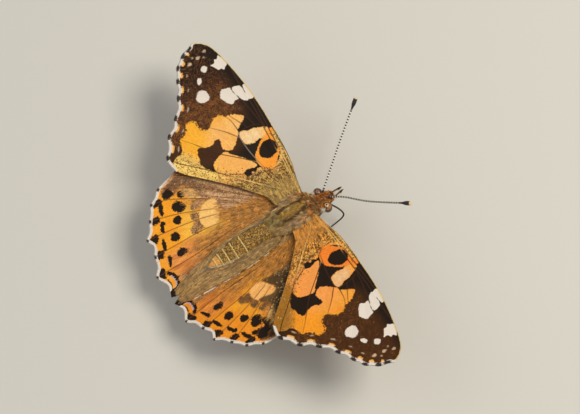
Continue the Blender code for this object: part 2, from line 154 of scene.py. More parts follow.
FORE_VEINS = {
    "subcosta": [(0.6, -0.9), (1.0, 0.9), (1.45, 4.0), (1.8, 8.0), (2.0, 12.0), (2.2, 14.5)],
    "radius_1": [(0.2, -0.9), (0.5, 1.6), (0.95, 5.0), (1.2, 9.0), (1.5, 14.0), (1.75, 18.5), (1.8, 21.3)],
    "radius_2": [(0.9, 12.0), (1.05, 16.0), (0.98, 19.0), (1.05, 22.0), (1.25, 24.5)],
    "radius_4": [
        (0.2, 16.5), (-0.1, 20.5), (-0.9, 23.5), (-1.7, 26.0), (-2.5, 28.6), (-3.35, 30.6),
    ],
    "radius_5": [(0.75, 12.5), (0.2, 16.5), (-1.0, 21.2), (-2.2, 23.2), (-3.6, 25.6), (-4.4, 28.2), (-4.85, 30.2)],
    "media_1": [(-0.4, 13.4), (-1.85, 18.6), (-3.0, 20.2), (-4.2, 22.4), (-5.4, 25.0), (-6.75, 28.75)],
    "media_2": [(-1.6, 13.6), (-4.2, 18.8), (-6.75, 22.2), (-7.3, 24.5), (-7.95, 26.8)],
    "media_3": [(-3.25, 13.7), (-3.5, 16.2), (-4.4, 17.7), (-6.8, 19.9), (-8.4, 21.5), (-9.4, 24.2)],
    "cubitus_1": [(-3.65, 12.8), (-5.3, 15.0), (-7.0, 16.8), (-9.5, 19.6), (-11.5, 21.5)],
    "cubitus_2": [(-3.0, 7.4), (-5.2, 9.6), (-8.2, 12.4), (-10.0, 14.7), (-12.0, 17.2), (-14.05, 19.4)],
    "anal": [(-1.4, -0.9), (-1.6, 0.9), (-4.2, 3.6), (-7.5, 7.0), (-11.5, 11.2), (-14.6, 14.2), (-16.2, 16.3)],
    "cell_below": [(-0.5, -0.9), (-0.7, 1.0), (-2.2, 4.0), (-2.9, 7.0), (-3.5, 10.0), (-3.65, 12.8), (-3.3, 13.7)],
    "cell_above": [(0.1, -0.9), (0.3, 1.5), (0.6, 5.0), (0.6, 9.0), (0.75, 12.5)],
    "cell_end": [(0.3, 13.2), (-0.9, 13.6), (-2.2, 13.8), (-3.3, 13.7)],
}
# Outlines of the fields that are light: the gilt base, the ring round the cell's spot, and the patches
FORE_LIGHT = {
    "base": [
        (3.2, -2.0), (3.2, 6.0), (3.0, 11.1), (1.9, 11.1), (1.3, 9.0), (0.8, 6.9), (-1.2, 5.7), (-3.2, 6.6),
        (-4.2, 6.9), (-6.6, 7.3), (-8.5, 8.4), (-10.0, 9.8), (-11.4, 11.3), (-12.0, 13.0), (-13.6, 15.4),
        (-15.3, 15.2), (-16.6, 13.6), (-13.0, 8.6), (-6.0, 1.0), (-4.5, -2.0),
    ],
    "ring": [
        (-1.25, 5.5), (0.2, 6.7), (1.5, 8.0), (1.65, 10.0), (1.9, 11.5), (1.0, 11.4), (0.2, 10.8),
        (-0.9, 10.55), (-1.7, 9.95), (-2.6, 9.2), (-3.25, 8.4), (-3.25, 7.1), (-2.7, 6.1),
    ],
    "cell_patch": [
        (1.6, 10.3), (1.35, 11.9), (0.3, 12.6), (-0.9, 13.05), (-2.1, 13.3), (-3.2, 13.75), (-3.65, 12.8),
        (-3.3, 11.3), (-2.0, 10.85), (-0.9, 11.0), (0.2, 10.6),
    ],
    "patch_below_cell": [
        (-3.55, 7.35), (-4.1, 8.4), (-5.15, 9.8), (-6.25, 11.0), (-7.05, 12.0), (-8.4, 11.95), (-9.5, 11.5),
        (-10.1, 10.7), (-9.85, 9.6), (-9.05, 8.85), (-7.8, 8.05), (-6.6, 7.4), (-5.9, 7.3), (-5.3, 7.5),
        (-4.4, 7.2),
    ],
    "upper_lobe": [
        (-1.15, 15.5), (-1.9, 16.4), (-2.8, 16.95), (-4.2, 17.1), (-4.2, 15.5), (-3.4, 14.3), (-2.2, 14.9),
    ],
    "middle_patch": [
        (-3.3, 14.0), (-3.5, 15.9), (-3.9, 17.3), (-4.6, 17.85), (-5.8, 17.95), (-6.6, 17.4), (-7.2, 16.9),
        (-8.2, 17.1), (-8.75, 17.8), (-8.8, 19.0), (-9.7, 19.6), (-10.4, 19.5), (-10.9, 18.6),
        (-11.8, 18.0), (-12.6, 17.7), (-12.9, 16.7), (-13.4, 15.8), (-14.4, 15.2), (-15.1, 14.9),
        (-15.2, 13.8), (-13.4, 12.2), (-11.5, 12.9), (-11.3, 14.1), (-10.6, 14.9), (-9.5, 14.35),
        (-8.4, 14.2), (-7.5, 14.6), (-6.8, 14.4), (-7.0, 13.3), (-7.1, 12.7), (-6.4, 11.95),
        (-5.5, 11.85), (-4.4, 12.7),
    ],
}
FORE_DARK = {
    "cell_spot": [
        (1.05, 8.2), (1.05, 9.3), (0.6, 10.0), (-0.4, 10.2), (-1.3, 9.9), (-2.1, 9.15), (-2.3, 8.5),
        (-2.0, 7.8), (-1.1, 7.2), (-0.2, 7.3), (0.5, 7.55),
    ],
    "basal_mark": [
        (-3.9, 6.9), (-4.6, 7.35), (-5.5, 7.55), (-6.2, 7.2), (-6.0, 6.6), (-5.3, 6.3), (-4.9, 6.7),
        (-4.3, 6.5),
    ],
}
FORE_WHITE = {
    "costal_bar": [(2.4, 17.75), (2.3, 19.5), (1.85, 20.3), (1.38, 20.35), (1.2, 19.2), (1.15, 17.75)],
    "second_bar": [
        (1.0, 17.7), (1.1, 19.3), (1.0, 20.4), (0.3, 20.85), (-0.42, 20.85), (-0.5, 20.2), (-0.15, 18.9),
        (0.2, 18.1),
    ],
    "third_bar": [
        (-0.35, 18.75), (-0.68, 20.2), (-0.7, 21.05), (-1.3, 21.35), (-2.1, 21.45), (-2.75, 20.95),
        (-2.9, 20.2), (-2.45, 19.2), (-1.8, 18.45), (-1.1, 18.75),
    ],
    "costal_spot": [
        (1.1, 25.0), (0.9, 26.1), (0.45, 26.95), (0.0, 26.5), (-0.45, 26.65), (-0.75, 26.15), (-1.55, 26.1),
        (-1.0, 25.3), (-0.75, 24.75), (-0.2, 24.7), (0.1, 24.3), (0.6, 24.65),
    ],
    "first_dot": [(-2.2, 26.1), (-2.6, 26.6), (-3.2, 26.5), (-3.4, 26.1), (-3.2, 25.7), (-2.6, 25.6)],
    "second_dot": [(-4.05, 25.0), (-4.5, 25.25), (-5.0, 24.8), (-5.0, 24.3), (-4.6, 24.2), (-4.2, 24.5)],
    "third_dot": [
        (-4.4, 22.0), (-4.6, 22.9), (-5.4, 23.3), (-6.2, 22.85), (-6.7, 22.2), (-6.3, 21.45), (-5.4, 21.1),
        (-4.6, 21.3),
    ],
}
# The same scales get one tone for each side, left, then right: the difference is painted light, as the two sides meet
# the light at different slants
FORE_TONES = {
    "gilt": (tone(210, 174, 98), tone(255, 184, 82)),
    "costal": (tone(214, 186, 108), tone(232, 180, 92)),
    "orange": (tone(255, 190, 60), tone(252, 166, 44)),
    "peach": (tone(254, 204, 130), tone(252, 176, 76)),
    "rose": (tone(255, 198, 113), tone(255, 172, 95)),
    "ring": (tone(255, 166, 46), tone(250, 138, 48)),
    "cream": (tone(248, 224, 180), tone(243, 204, 158)),
    "strip": (tone(255, 224, 132), tone(168, 118, 34)),
}
BLACK_BROWN = tone(36, 23, 14)
WARM_BROWNS = {"left": tone(74, 44, 23), "right": tone(76, 44, 15)}
WHITE = tone(226, 217, 208)
PALE_MARK = tone(228, 196, 166)
EDGE_ORANGE = tone(240, 168, 66)
EDGE_CREAM = tone(226, 198, 134)
# The colour of the painted sheen on the left forewing's veins
SILVER = tone(176, 170, 158)
# Small marks (forward, out, half length, half width, slant in degrees, share of full strength)
APEX_MARKS = [
    (-2.7, 28.3, 0.42, 0.3, 0, 0.7), (-4.5, 28.1, 0.4, 0.28, 20, 0.75), (-1.2, 28.8, 0.35, 0.25, 0, 0.55),
    (-1.9, 27.9, 0.25, 0.2, 0, 0.4),
]


def smooth_curve(points, count, closed=False):
    """Catmull-Rom: between b and c it is (2b + (c-a)s + (2a-5b+4c-d)s2 + (3b-3c+d-a)s3)/2."""
    spot = np.asarray(points, float)
    if closed:
        spot = np.vstack([spot[-1:], spot, spot[:2]])
    else:
        spot = np.vstack([2 * spot[:1] - spot[1:2], spot, 2 * spot[-1:] - spot[-2:-1]])
    spans = len(spot) - 3
    along = np.linspace(0, spans, count, endpoint=not closed)
    first = np.minimum(along.astype(int), spans - 1)
    s = (along - first)[:, None]
    a, b, c, d = (spot[first + k] for k in range(4))
    return 0.5 * (2 * b + (c - a) * s + (2 * a - 5 * b + 4 * c - d) * s**2 + (3 * b - 3 * c + d - a) * s**3)


def even_curve(points, count):
    """The same smooth curve, with its points an even distance apart along it."""
    fine = smooth_curve(points, 40 * len(points))
    run = np.append(0, np.cumsum(np.linalg.norm(np.diff(fine, axis=0), axis=1)))
    steps = np.linspace(0, run[-1], count)
    return np.stack([np.interp(steps, run, fine[:, k]) for k in range(fine.shape[1])], axis=1)


def ease(low, high, value):
    """0 below low, 1 above high and 3x2 - 2x3 between."""
    x = np.clip((value - low) / (high - low), 0, 1)
    return x * x * (3 - 2 * x)


def depth_in(outline, spots):
    """Distance from each spot to a smooth closed outline, above 0 inside it and below 0 outside."""
    ring = smooth_curve(outline, 8 * len(outline), closed=True)
    after = np.roll(ring, -1, axis=0)
    edge = after - ring
    there = spots[:, None] - ring[None]
    share = np.clip((there * edge).sum(2) / (edge**2).sum(1), 0, 1)
    gap = np.sqrt(((there - share[..., None] * edge) ** 2).sum(2)).min(1)
    level = spots[:, None, 1]
    spans = (ring[:, 1] > level) != (after[:, 1] > level)
    run = np.where(edge[:, 1] == 0, 1e-9, edge[:, 1])
    ahead = ring[:, 0] + (level - ring[:, 1]) * edge[:, 0] / run > spots[:, None, 0]
    return np.where((spans & ahead).sum(1) % 2 == 1, gap, -gap)


def distance_to(line, spots):
    """Distance from each spot to a smooth open line, and how far along it (0 to 1) the nearest point is."""
    path = smooth_curve(line, 8 * len(line))
    edge = np.diff(path, axis=0)
    there = spots[:, None] - path[None, :-1]
    share = np.clip((there * edge).sum(2) / (edge**2).sum(1), 0, 1)
    gap = np.sqrt(((there - share[..., None] * edge) ** 2).sum(2))
    nearest = gap.argmin(1)
    rows = np.arange(len(spots))
    return gap[rows, nearest], (nearest + share[rows, nearest]) / len(edge)


def union(outlines, spots):
    """The greatest depth in any of the outlines."""
    return np.max([depth_in(outline, spots) for outline in outlines.values()], axis=0)


def wing_net(lead, trail, root, margin):
    """Coons net: lead to trail across, plus root to margin along, less the blend of the four corners."""
    s = np.linspace(0, 1, len(lead))[:, None, None]
    t = np.linspace(0, 1, len(root))[None, :, None]
    across = (1 - t) * lead[:, None] + t * trail[:, None]
    along = (1 - s) * root[None] + s * margin[None]
    corners = (1 - s) * ((1 - t) * lead[0] + t * trail[0]) + s * ((1 - t) * lead[-1] + t * trail[-1])
    return across + along - corners


def inset(line, inward):
    """A line moved sideways by a distance, towards its left as it runs."""
    run = np.gradient(line, axis=0)
    run /= np.linalg.norm(run, axis=1)[:, None]
    return line + np.stack([-run[:, 1], run[:, 0]], axis=1) * inward


def set_wing(spots, lift, hinge, angles, side):
    """From the wing's plane to the animal's frame: turned by sweep, dihedral and pitch about the hinge,
    then mirrored for the right side."""
    dihedral, sweep, pitch = (radians(angle) for angle in angles)
    u = spots[..., 0] * cos(sweep) - spots[..., 1] * sin(sweep)
    v = spots[..., 0] * sin(sweep) + spots[..., 1] * cos(sweep)
    y = v * cos(dihedral) - lift * sin(dihedral)
    z = v * sin(dihedral) + lift * cos(dihedral)
    x = u * cos(pitch) - z * sin(pitch)
    z = u * sin(pitch) + z * cos(pitch)
    return np.stack([hinge[0] + x, side * (hinge[1] + y), hinge[2] + z], axis=-1)


def net_normals(net):
    """Unit normals of a net of points, from the cross product of its two directions, made to point up."""
    cross = np.cross(np.gradient(net, axis=0), np.gradient(net, axis=1))
    cross /= np.maximum(np.linalg.norm(cross, axis=-1, keepdims=True), 1e-12)
    return cross * np.where(cross[..., 2:] < 0, -1.0, 1.0)


def add_marks(mesh, marks):
    """Stores each named value on the mesh's points: one number, three for a place, or four for a colour."""
    kinds = {1: ("FLOAT", "value"), 3: ("FLOAT_VECTOR", "vector"), 4: ("FLOAT_COLOR", "color")}
    for name, values in marks.items():
        values = np.asarray(values, np.float32)
        kind, field = kinds[1 if values.ndim == 1 else values.shape[1]]
        mesh.attributes.new(name, kind, "POINT").data.foreach_set(field, values.ravel())


def make_piece(name, points, faces, looks, face_looks=None, marks=None, flat=None):
    """A mesh object at the origin, made from points in metres, with smooth faces that point outwards."""
    corners = points[faces[:, :3]]
    volume = np.einsum("ij,ij->i", corners[:, 0], np.cross(corners[:, 1], corners[:, 2])).sum()
    if volume < 0:
        faces = faces[:, ::-1]
        flat = None if flat is None else flat[:, ::-1]
    mesh = bpy.data.meshes.new(name)
    mesh.vertices.add(len(points))
    mesh.vertices.foreach_set("co", points.astype(np.float32).ravel())
    sides = faces.shape[1]
    mesh.loops.add(faces.size)
    mesh.loops.foreach_set("vertex_index", faces.astype(np.int32).ravel())
    mesh.polygons.add(len(faces))
    mesh.polygons.foreach_set("loop_start", np.arange(0, faces.size, sides, dtype=np.int32))
    mesh.polygons.foreach_set("use_smooth", np.ones(len(faces), bool))
    for look in looks:
        mesh.materials.append(look)
    if face_looks is not None:
        mesh.polygons.foreach_set("material_index", np.asarray(face_looks, np.int32))
    if flat is not None:
        mesh.uv_layers.new(name="OFBake").data.foreach_set("uv", flat.astype(np.float32).ravel())
    add_marks(mesh, marks or {})
    mesh.update(calc_edges=True)
    mesh.validate()
    piece = bpy.data.objects.new(name, mesh)
    bpy.context.scene.collection.objects.link(piece)
    return piece


def wing_sheet(name, middle, thickness, relief, marks, looks):
    """A closed thin sheet: each point of the net moves along the normal by half the thickness plus the
    relief, up for the upper face and down for the lower, and the two faces are joined round the edge."""
    rows, columns = middle.shape[:2]
    normal = net_normals(middle)
    upper = middle + normal * (thickness / 2 + relief)[..., None]
    lower = middle - normal * (thickness / 2 + relief)[..., None]
    points = place(np.concatenate([upper.reshape(-1, 3), lower.reshape(-1, 3)]))
    number = np.arange(rows * columns).reshape(rows, columns)
    quads = np.stack([number[:-1, :-1], number[1:, :-1], number[1:, 1:], number[:-1, 1:]], axis=-1)
    quads = quads.reshape(-1, 4)
    count = rows * columns
    rim = np.concatenate([number[0, :-1], number[:-1, -1], number[-1, :0:-1], number[:0:-1, 0]])
    after = np.roll(rim, -1)
    edge = np.stack([after, rim, rim + count, after + count], axis=-1)
    faces = np.concatenate([quads, quads[:, ::-1] + count, edge])
    if np.cross(middle[1, 0] - middle[0, 0], middle[1, 1] - middle[0, 0])[2] > 0:
        faces[len(quads) * 2:] = edge
    s, t = np.meshgrid(np.linspace(0.01, 0.99, rows), np.linspace(0.01, 0.49, columns), indexing="ij")
    sheet = np.stack([t.ravel(), s.ravel()], axis=-1)
    chart = np.concatenate([sheet, sheet + [0.5, 0.0]])
    rim_flat = np.stack([chart[after], chart[rim], chart[rim], chart[after]], axis=1)
    flat = np.concatenate([chart[faces[:2 * len(quads)]], rim_flat])
    face_looks = np.concatenate([np.zeros(len(quads)), np.ones(len(quads)), np.zeros(len(edge))])
    both = {key: np.concatenate([value, value]) for key, value in marks.items()}
    return make_piece(name, points, faces, looks, face_looks, both, flat)


class Finish:
    """A material on one Principled shader, with short ways to add the nodes that colour it."""

    def __init__(self, name, roughness):
        self.material = bpy.data.materials.new(name)
        self.material.use_nodes = True
        self.tree = self.material.node_tree
        self.shader = self.tree.nodes["Principled BSDF"]
        self.shader.inputs["Roughness"].default_value = roughness
        self.place = self.tree.nodes.new("ShaderNodeTexCoord").outputs["Object"]

    def feed(self, socket, value):
        if hasattr(value, "is_output"):
            self.tree.links.new(value, socket)
        elif hasattr(value, "__len__"):
            socket.default_value = (*map(float, value), 1.0)[:4]
        else:
            socket.default_value = value

    def mark(self, name, output="Fac"):
        node = self.tree.nodes.new("ShaderNodeAttribute")
        node.attribute_name = name
        return node.outputs[output]

    def math(self, kind, first, second=0.0):
        node = self.tree.nodes.new("ShaderNodeMath")
        node.operation = kind
        self.feed(node.inputs[0], first)
        self.feed(node.inputs[1], second)
        return node.outputs[0]

    def between(self, value, low, high, start=0.0, end=1.0):
        node = self.tree.nodes.new("ShaderNodeMapRange")
        node.interpolation_type = "SMOOTHSTEP"
        for socket, number in zip(node.inputs, (value, low, high, start, end)):
            self.feed(socket, number)
        return node.outputs[0]

    def noise(self, scale, detail=2.0, where=None, squeeze=None):
        node = self.tree.nodes.new("ShaderNodeTexNoise")
        node.inputs["Scale"].default_value = scale
        node.inputs["Detail"].default_value = detail
        where = where or self.place
        if squeeze:
            stretch = self.tree.nodes.new("ShaderNodeMapping")
            stretch.inputs["Scale"].default_value = squeeze
            self.tree.links.new(where, stretch.inputs["Vector"])
            where = stretch.outputs["Vector"]
        self.tree.links.new(where, node.inputs["Vector"])
        return node.outputs["Fac"]

    def cells(self, scale, where=None, output="Color", squeeze=None):
        node = self.tree.nodes.new("ShaderNodeTexVoronoi")
        node.inputs["Scale"].default_value = scale
        where = where or self.place
        if squeeze:
            stretch = self.tree.nodes.new("ShaderNodeMapping")
            stretch.inputs["Scale"].default_value = squeeze
            self.tree.links.new(where, stretch.inputs["Vector"])
            where = stretch.outputs["Vector"]
        self.tree.links.new(where, node.inputs["Vector"])
        return node.outputs[output]

    def mix(self, share, first, second, kind="MIX"):
        node = self.tree.nodes.new("ShaderNodeMix")
        node.data_type = "RGBA"
        node.blend_type = kind
        self.feed(node.inputs[0], share)
        self.feed(node.inputs[6], first)
        self.feed(node.inputs[7], second)
        return node.outputs[2]

    def bump(self, height, distance, strength=1.0):
        node = self.tree.nodes.new("ShaderNodeBump")
        node.inputs["Strength"].default_value = strength
        node.inputs["Distance"].default_value = distance
        self.feed(node.inputs["Height"], height)
        self.tree.links.new(node.outputs["Normal"], self.shader.inputs["Normal"])

    def colour(self, value):
        self.feed(self.shader.inputs["Base Color"], value)

    def split(self, colour):
        node = self.tree.nodes.new("ShaderNodeSeparateColor")
        self.feed(node.inputs[0], colour)
        return node.outputs


def scaled_wing(name, face):
    """Wing scales: the light and dark grounds meet where the dark mark's depth passes 0, with each patch
    of scales on one side or the other. Rays of hair, pepper of dark scales, glints, flecks of light scales
    on the dark, veins and white marks lie over them. Each face's marks begin with the face's name."""
    look = Finish(name, 0.6)
    spot = look.mark("wing_place", "Vector")
    chance, second, third = look.split(look.cells(1.0, spot, squeeze=(5.5, 6.5, 1.0)))
    fine = look.split(look.cells(1.0, spot, squeeze=(11.0, 15.0, 1.0)))
    drift = look.noise(1.6, 2.0, spot)
    crowd = look.between(look.noise(1.1, 3.0, spot), 0.35, 0.65, 0.35, 1.65)
    ragged = look.math("MULTIPLY", look.math("SUBTRACT", chance, 0.5), 0.2)
    wander = look.math("MULTIPLY", look.math("SUBTRACT", drift, 0.5), 0.34)
    offset = look.math("MULTIPLY", look.math("ADD", ragged, wander), look.mark(face + "_ragged"))

    light = look.mark(face + "_light", "Color")
    light = look.mix(look.math("MULTIPLY", fine[0], 0.4), light, (0.66, 0.58, 0.46), "MULTIPLY")
    light = look.mix(look.math("MULTIPLY", second, 0.75), light, (0.84, 0.68, 0.46), "MULTIPLY")
    ray = look.between(look.noise(1.0, 4.0, look.mark("wing_ray", "Vector")), 0.44, 0.58)
    ray = look.math("MULTIPLY", ray, look.mark(face + "_streak"))
    light = look.mix(ray, light, look.mark(face + "_streak_tone", "Color"))
    peppered = look.math("LESS_THAN", third, look.math("MULTIPLY", look.mark(face + "_pepper"), crowd))
    light = look.mix(look.math("MULTIPLY", peppered, 0.8), light, look.mark(face + "_pepper_tone", "Color"))
    glint = look.math("GREATER_THAN", look.math("ADD", second, look.mark(face + "_glint")), 1.0)
    light = look.mix(look.math("MULTIPLY", glint, 0.4), light, tone(255, 226, 160))

    dark = look.mark(face + "_dark", "Color")
    dark = look.mix(look.math("MULTIPLY", fine[1], 0.35), dark, (0.4, 0.36, 0.34), "MULTIPLY")
    dark = look.mix(look.math("MULTIPLY", second, 0.5), dark, (0.6, 0.56, 0.5), "MULTIPLY")
    flecked = look.math("LESS_THAN", fine[2], look.math("MULTIPLY", look.mark(face + "_fleck"), crowd))
    dark = look.mix(look.math("MULTIPLY", flecked, 0.7), dark, tone(150, 94, 46))

    is_dark = look.between(look.math("ADD", look.mark(face + "_dark_depth"), offset), -0.05, 0.05)
    ground = look.mix(is_dark, light, dark)
    vein = look.between(look.mark("vein_gap"), 0.06, 0.13, 1.0, 0.0)
    vein = look.math("MULTIPLY", vein, look.mark(face + "_vein_ink"))
    ground = look.mix(vein, ground, look.mark(face + "_vein_tone", "Color"))
    white_depth = look.math("ADD", look.mark(face + "_white_depth"), look.math("MULTIPLY", offset, 0.4))
    white = look.mix(look.math("MULTIPLY", fine[2], 0.25), look.mark(face + "_white", "Color"), (0.7, 0.66, 0.6), "MULTIPLY")
    look.colour(look.mix(look.between(white_depth, -0.04, 0.04), ground, white))
    look.bump(look.cells(1.0, spot, "Distance", squeeze=(11.0, 15.0, 1.0)), 0.00002, 0.5)
    look.shader.inputs["Specular IOR Level"].default_value = 0.14
    look.shader.inputs["Sheen Weight"].default_value = 0.02
    look.shader.inputs["Sheen Roughness"].default_value = 0.4
    return look.material


def colours(base, *layers):
    """A colour for each spot: the base, with each (share, colour) laid over it in turn."""
    result = np.ones((len(layers[0][0]), 4))
    result[:, :3] = base
    for share, colour in layers:
        result[:, :3] += (np.asarray(colour) - result[:, :3]) * share[:, None]
    return result


def vein_gaps(veins, spots):
    """Distance from each spot to the nearest vein, and that vein's number."""
    gaps = np.array([distance_to(line, spots)[0] for line in veins.values()])
    return gaps.min(axis=0), gaps.argmin(axis=0)


def ellipse_depth(spots, forward, out, half_length, half_width, slant):
    """Depth in an ellipse: half width times (1 - the distance from its middle, with each axis scaled to 1)."""
    away = spots - [forward, out]
    along = away @ [cos(slant), sin(slant)]
    across = away @ [-sin(slant), cos(slant)]
    return half_width * (1 - np.hypot(along / half_length, across / half_width))


def rays(spots, forward, out, ahead):
    """Places for rays that fan from a point: 22 times the angle from a heading, and 0.12 times the distance."""
    away = spots - [forward, out]
    across = away @ [-ahead[1], ahead[0]]
    along = away @ ahead
    return np.stack([22 * np.arctan2(across, along), 0.12 * np.hypot(across, along), 0 * along], axis=1)


def face_marks(face, count, **given):
    """The marks of one face of a wing: those given, with the rest left empty."""
    empty = np.zeros(count)
    marks = {key: empty for key in ("vein_ink", "pepper", "fleck", "glint", "streak")}
    marks |= {"dark_depth": empty - 1, "white_depth": empty - 1, "ragged": empty + 1}
    marks |= {key: colours(BLACK_BROWN, (empty, BLACK_BROWN)) for key in
              ("light", "dark", "white", "vein_tone", "pepper_tone", "streak_tone")}
    return {f"{face}_{key}": value for key, value in (marks | given).items()}


def rim_distance(spots, inner):
    """Distance to the inner rim of the fringe: by its points, then exactly for the spots close to it."""
    away = np.linalg.norm(spots[:, None] - inner[None, ::6], axis=2).min(1)
    close = away < 0.8
    away[close] = distance_to(inner[::12], spots[close])[0]
    return away


def tooth_distance(spots, margin, teeth):
    """Distance to the nearest tooth of the margin, where a vein ends."""
    return np.linalg.norm(spots[:, None] - np.array([margin[k] for k in teeth])[None], axis=2).min(1)


def scallops(margin, teeth, inward):
    """Middle and slant of the hollow between each pair of teeth, moved inward by a distance."""
    for near, far in zip(teeth, teeth[1:]):
        run = np.subtract(margin[far], margin[near])
        heading = np.arctan2(run[1], run[0])
        hollow = np.array(margin[(near + far) // 2])
        yield hollow + inward * np.array([-sin(heading), cos(heading)]), heading, np.hypot(*run)


FORE_ROWS, FORE_COLUMNS = 210, 140
FRINGE = 0.42
lead = even_curve(FORE_LEAD, FORE_ROWS)
trail = even_curve(FORE_TRAIL, FORE_ROWS)
outer_rim = even_curve(FORE_MARGIN, 600)
held_back = FRINGE * np.minimum(1, np.minimum(np.arange(600), np.arange(600)[::-1]) / 16)
inner_rim = outer_rim + (inset(outer_rim, 1.0) - outer_rim) * held_back[:, None]
margin = even_curve(inner_rim[::6], FORE_COLUMNS)
root = np.linspace(FORE_LEAD[0], FORE_TRAIL[0], FORE_COLUMNS)
fore_net = wing_net(lead, trail, root, margin)
fore_spots = fore_net.reshape(-1, 2)
u, v = fore_spots.T
spot_count = len(u)
light_depth = union(FORE_LIGHT, fore_spots)
dark_depth = np.maximum(-light_depth, union(FORE_DARK, fore_spots))
vein_gap, vein_number = vein_gaps(FORE_VEINS, fore_spots)
from_margin = rim_distance(fore_spots, inner_rim)
from_tooth = tooth_distance(fore_spots, FORE_MARGIN, FORE_TEETH)
in_base = depth_in(FORE_LIGHT["base"], fore_spots)
gilt = ease(-0.6, 1.0, in_base) * ease(8.8, 5.5, v)
strip = ease(-1.2, 0.6, in_base) * ease(5.0, 9.0, v) * ease(-5.0, -8.0, u)
costal = ease(0.9, 1.6, u) * ease(11.5, 10.0, v)
ring = ease(-0.35, 0.1, depth_in(FORE_LIGHT["ring"], fore_spots))
cell_patch = ease(-0.3, 0.5, depth_in(FORE_LIGHT["cell_patch"], fore_spots)) * ease(0.6, -1.2, u)
rosy = ease(16.5, 13.5, v) * ease(6.0, 7.5, v) * ease(-11.0, -8.5, u) * ease(-3.2, -4.2, u)
peachy = ease(19.0, 15.0, v) * ease(-9.5, -6.5, u)
fore_grounds = {}
for number, side_name in enumerate(("left", "right")):
    shade = {key: pair[number] for key, pair in FORE_TONES.items()}
    fore_grounds[side_name] = colours(
        shade["orange"], (peachy, shade["peach"]), (strip, shade["strip"]), (0.9 * rosy, shade["rose"]),
        (cell_patch, shade["cream"]), (gilt, shade["gilt"]), (0.9 * ring, shade["ring"]), (costal, shade["costal"]),
    )
distal = ease(16.0, 18.5, v) * ease(0.2, -2.5, u)
warm = ease(14.0, 17.5, v) * ease(0.8, -1.5, u)
outward_brown = distal * np.maximum(ease(26.0, 20.0, v), 0.35)

# White marks: the bars and dots, the dim marks of the tip, the orange dashes and pale lunules inside the
# fringe, the fringe's own foot, and the cream line on the front edge
white_depth = union(FORE_WHITE, fore_spots)
white_layers = []
for forward, out, half_length, half_width, slant, strength in APEX_MARKS:
    depth = ellipse_depth(fore_spots, forward, out, half_length, half_width, radians(slant))
    white_layers.append((ease(-0.4, -0.2, depth) * (white_depth < 0), PALE_MARK * strength))
    white_depth = np.maximum(white_depth, depth)
for inward, length_share, half_width, mark_tone in ((0.7, 0.2, 0.3, EDGE_ORANGE), (1.7, 0.13, 0.14, PALE_MARK * 0.5)):
    for middle, heading, length in scallops(FORE_MARGIN, FORE_TEETH, inward):
        depth = ellipse_depth(fore_spots, *middle, length_share * length, half_width, heading)
        white_layers.append((ease(-0.4, -0.2, depth) * (white_depth < 0), mark_tone))
        white_depth = np.maximum(white_depth, depth)
rim_white = np.minimum(0.14 - from_margin, from_tooth - 0.6)
white_layers.append((ease(-0.2, -0.05, rim_white), WHITE))
from_lead = distance_to(FORE_LEAD, fore_spots)[0]
lead_line = np.minimum(0.11 - from_lead, 0.3 * (v - 11.0))
white_layers.append((ease(-0.2, -0.05, lead_line), EDGE_CREAM))
white_depth = np.max([white_depth, rim_white, lead_line], axis=0)

names = list(FORE_VEINS)
# Silver on two veins of the base: a painted sheen, given to the left wing only by SILVER_SHARES
silver = np.isin(vein_number, [names.index("cell_below"), names.index("cubitus_1")]) * ease(15.0, 12.0, v)
in_base_vein = ease(9.0, 6.0, v) * (1 - silver)
pale_line = np.isin(vein_number, [names.index("radius_1"), names.index("radius_2")]) * ease(12.0, 14.0, v)
under_rose = ease(2.0, 5.0, v) * ease(19.0, 15.0, v) * ease(-11.0, -8.0, u)
olive_tip = np.maximum(ease(22.5, 25.5, v), ease(2.5, 0.8, from_margin) * ease(12.0, 16.0, v))
# The two forewings differ in flecks, silver veins, dark ground and a dark front edge: each difference is painted light,
# the left's dark front edge a painted shadow
FLECKS = {"left": 0.35, "right": 0.1}
SILVER_SHARES = {"left": 0.42, "right": 0.0}
vein_tones = {side_name: colours(tone(58, 34, 20), (in_base_vein, tone(236, 196, 116)), (share * silver, SILVER),
                                 (0.03 * pale_line, tone(150, 108, 62)))
              for side_name, share in SILVER_SHARES.items()}
below_cell = 0.9 * ease(-2.8, -4.4, u) * ease(10.0, 12.2, v) * ease(27.0, 20.5, v)
fore_darks = {
    "left": colours(BLACK_BROWN, (np.maximum(warm * ease(27.0, 20.5, v), below_cell), WARM_BROWNS["left"])),
    "right": colours(BLACK_BROWN, (warm, WARM_BROWNS["right"])),
}
edge_shadow = {"left": np.minimum(0.12 - from_lead, 0.3 * (9.5 - v)), "right": from_lead * 0 - 1}
vein_rim = gilt * np.exp(-(((vein_gap - 0.27) / 0.1) ** 2))
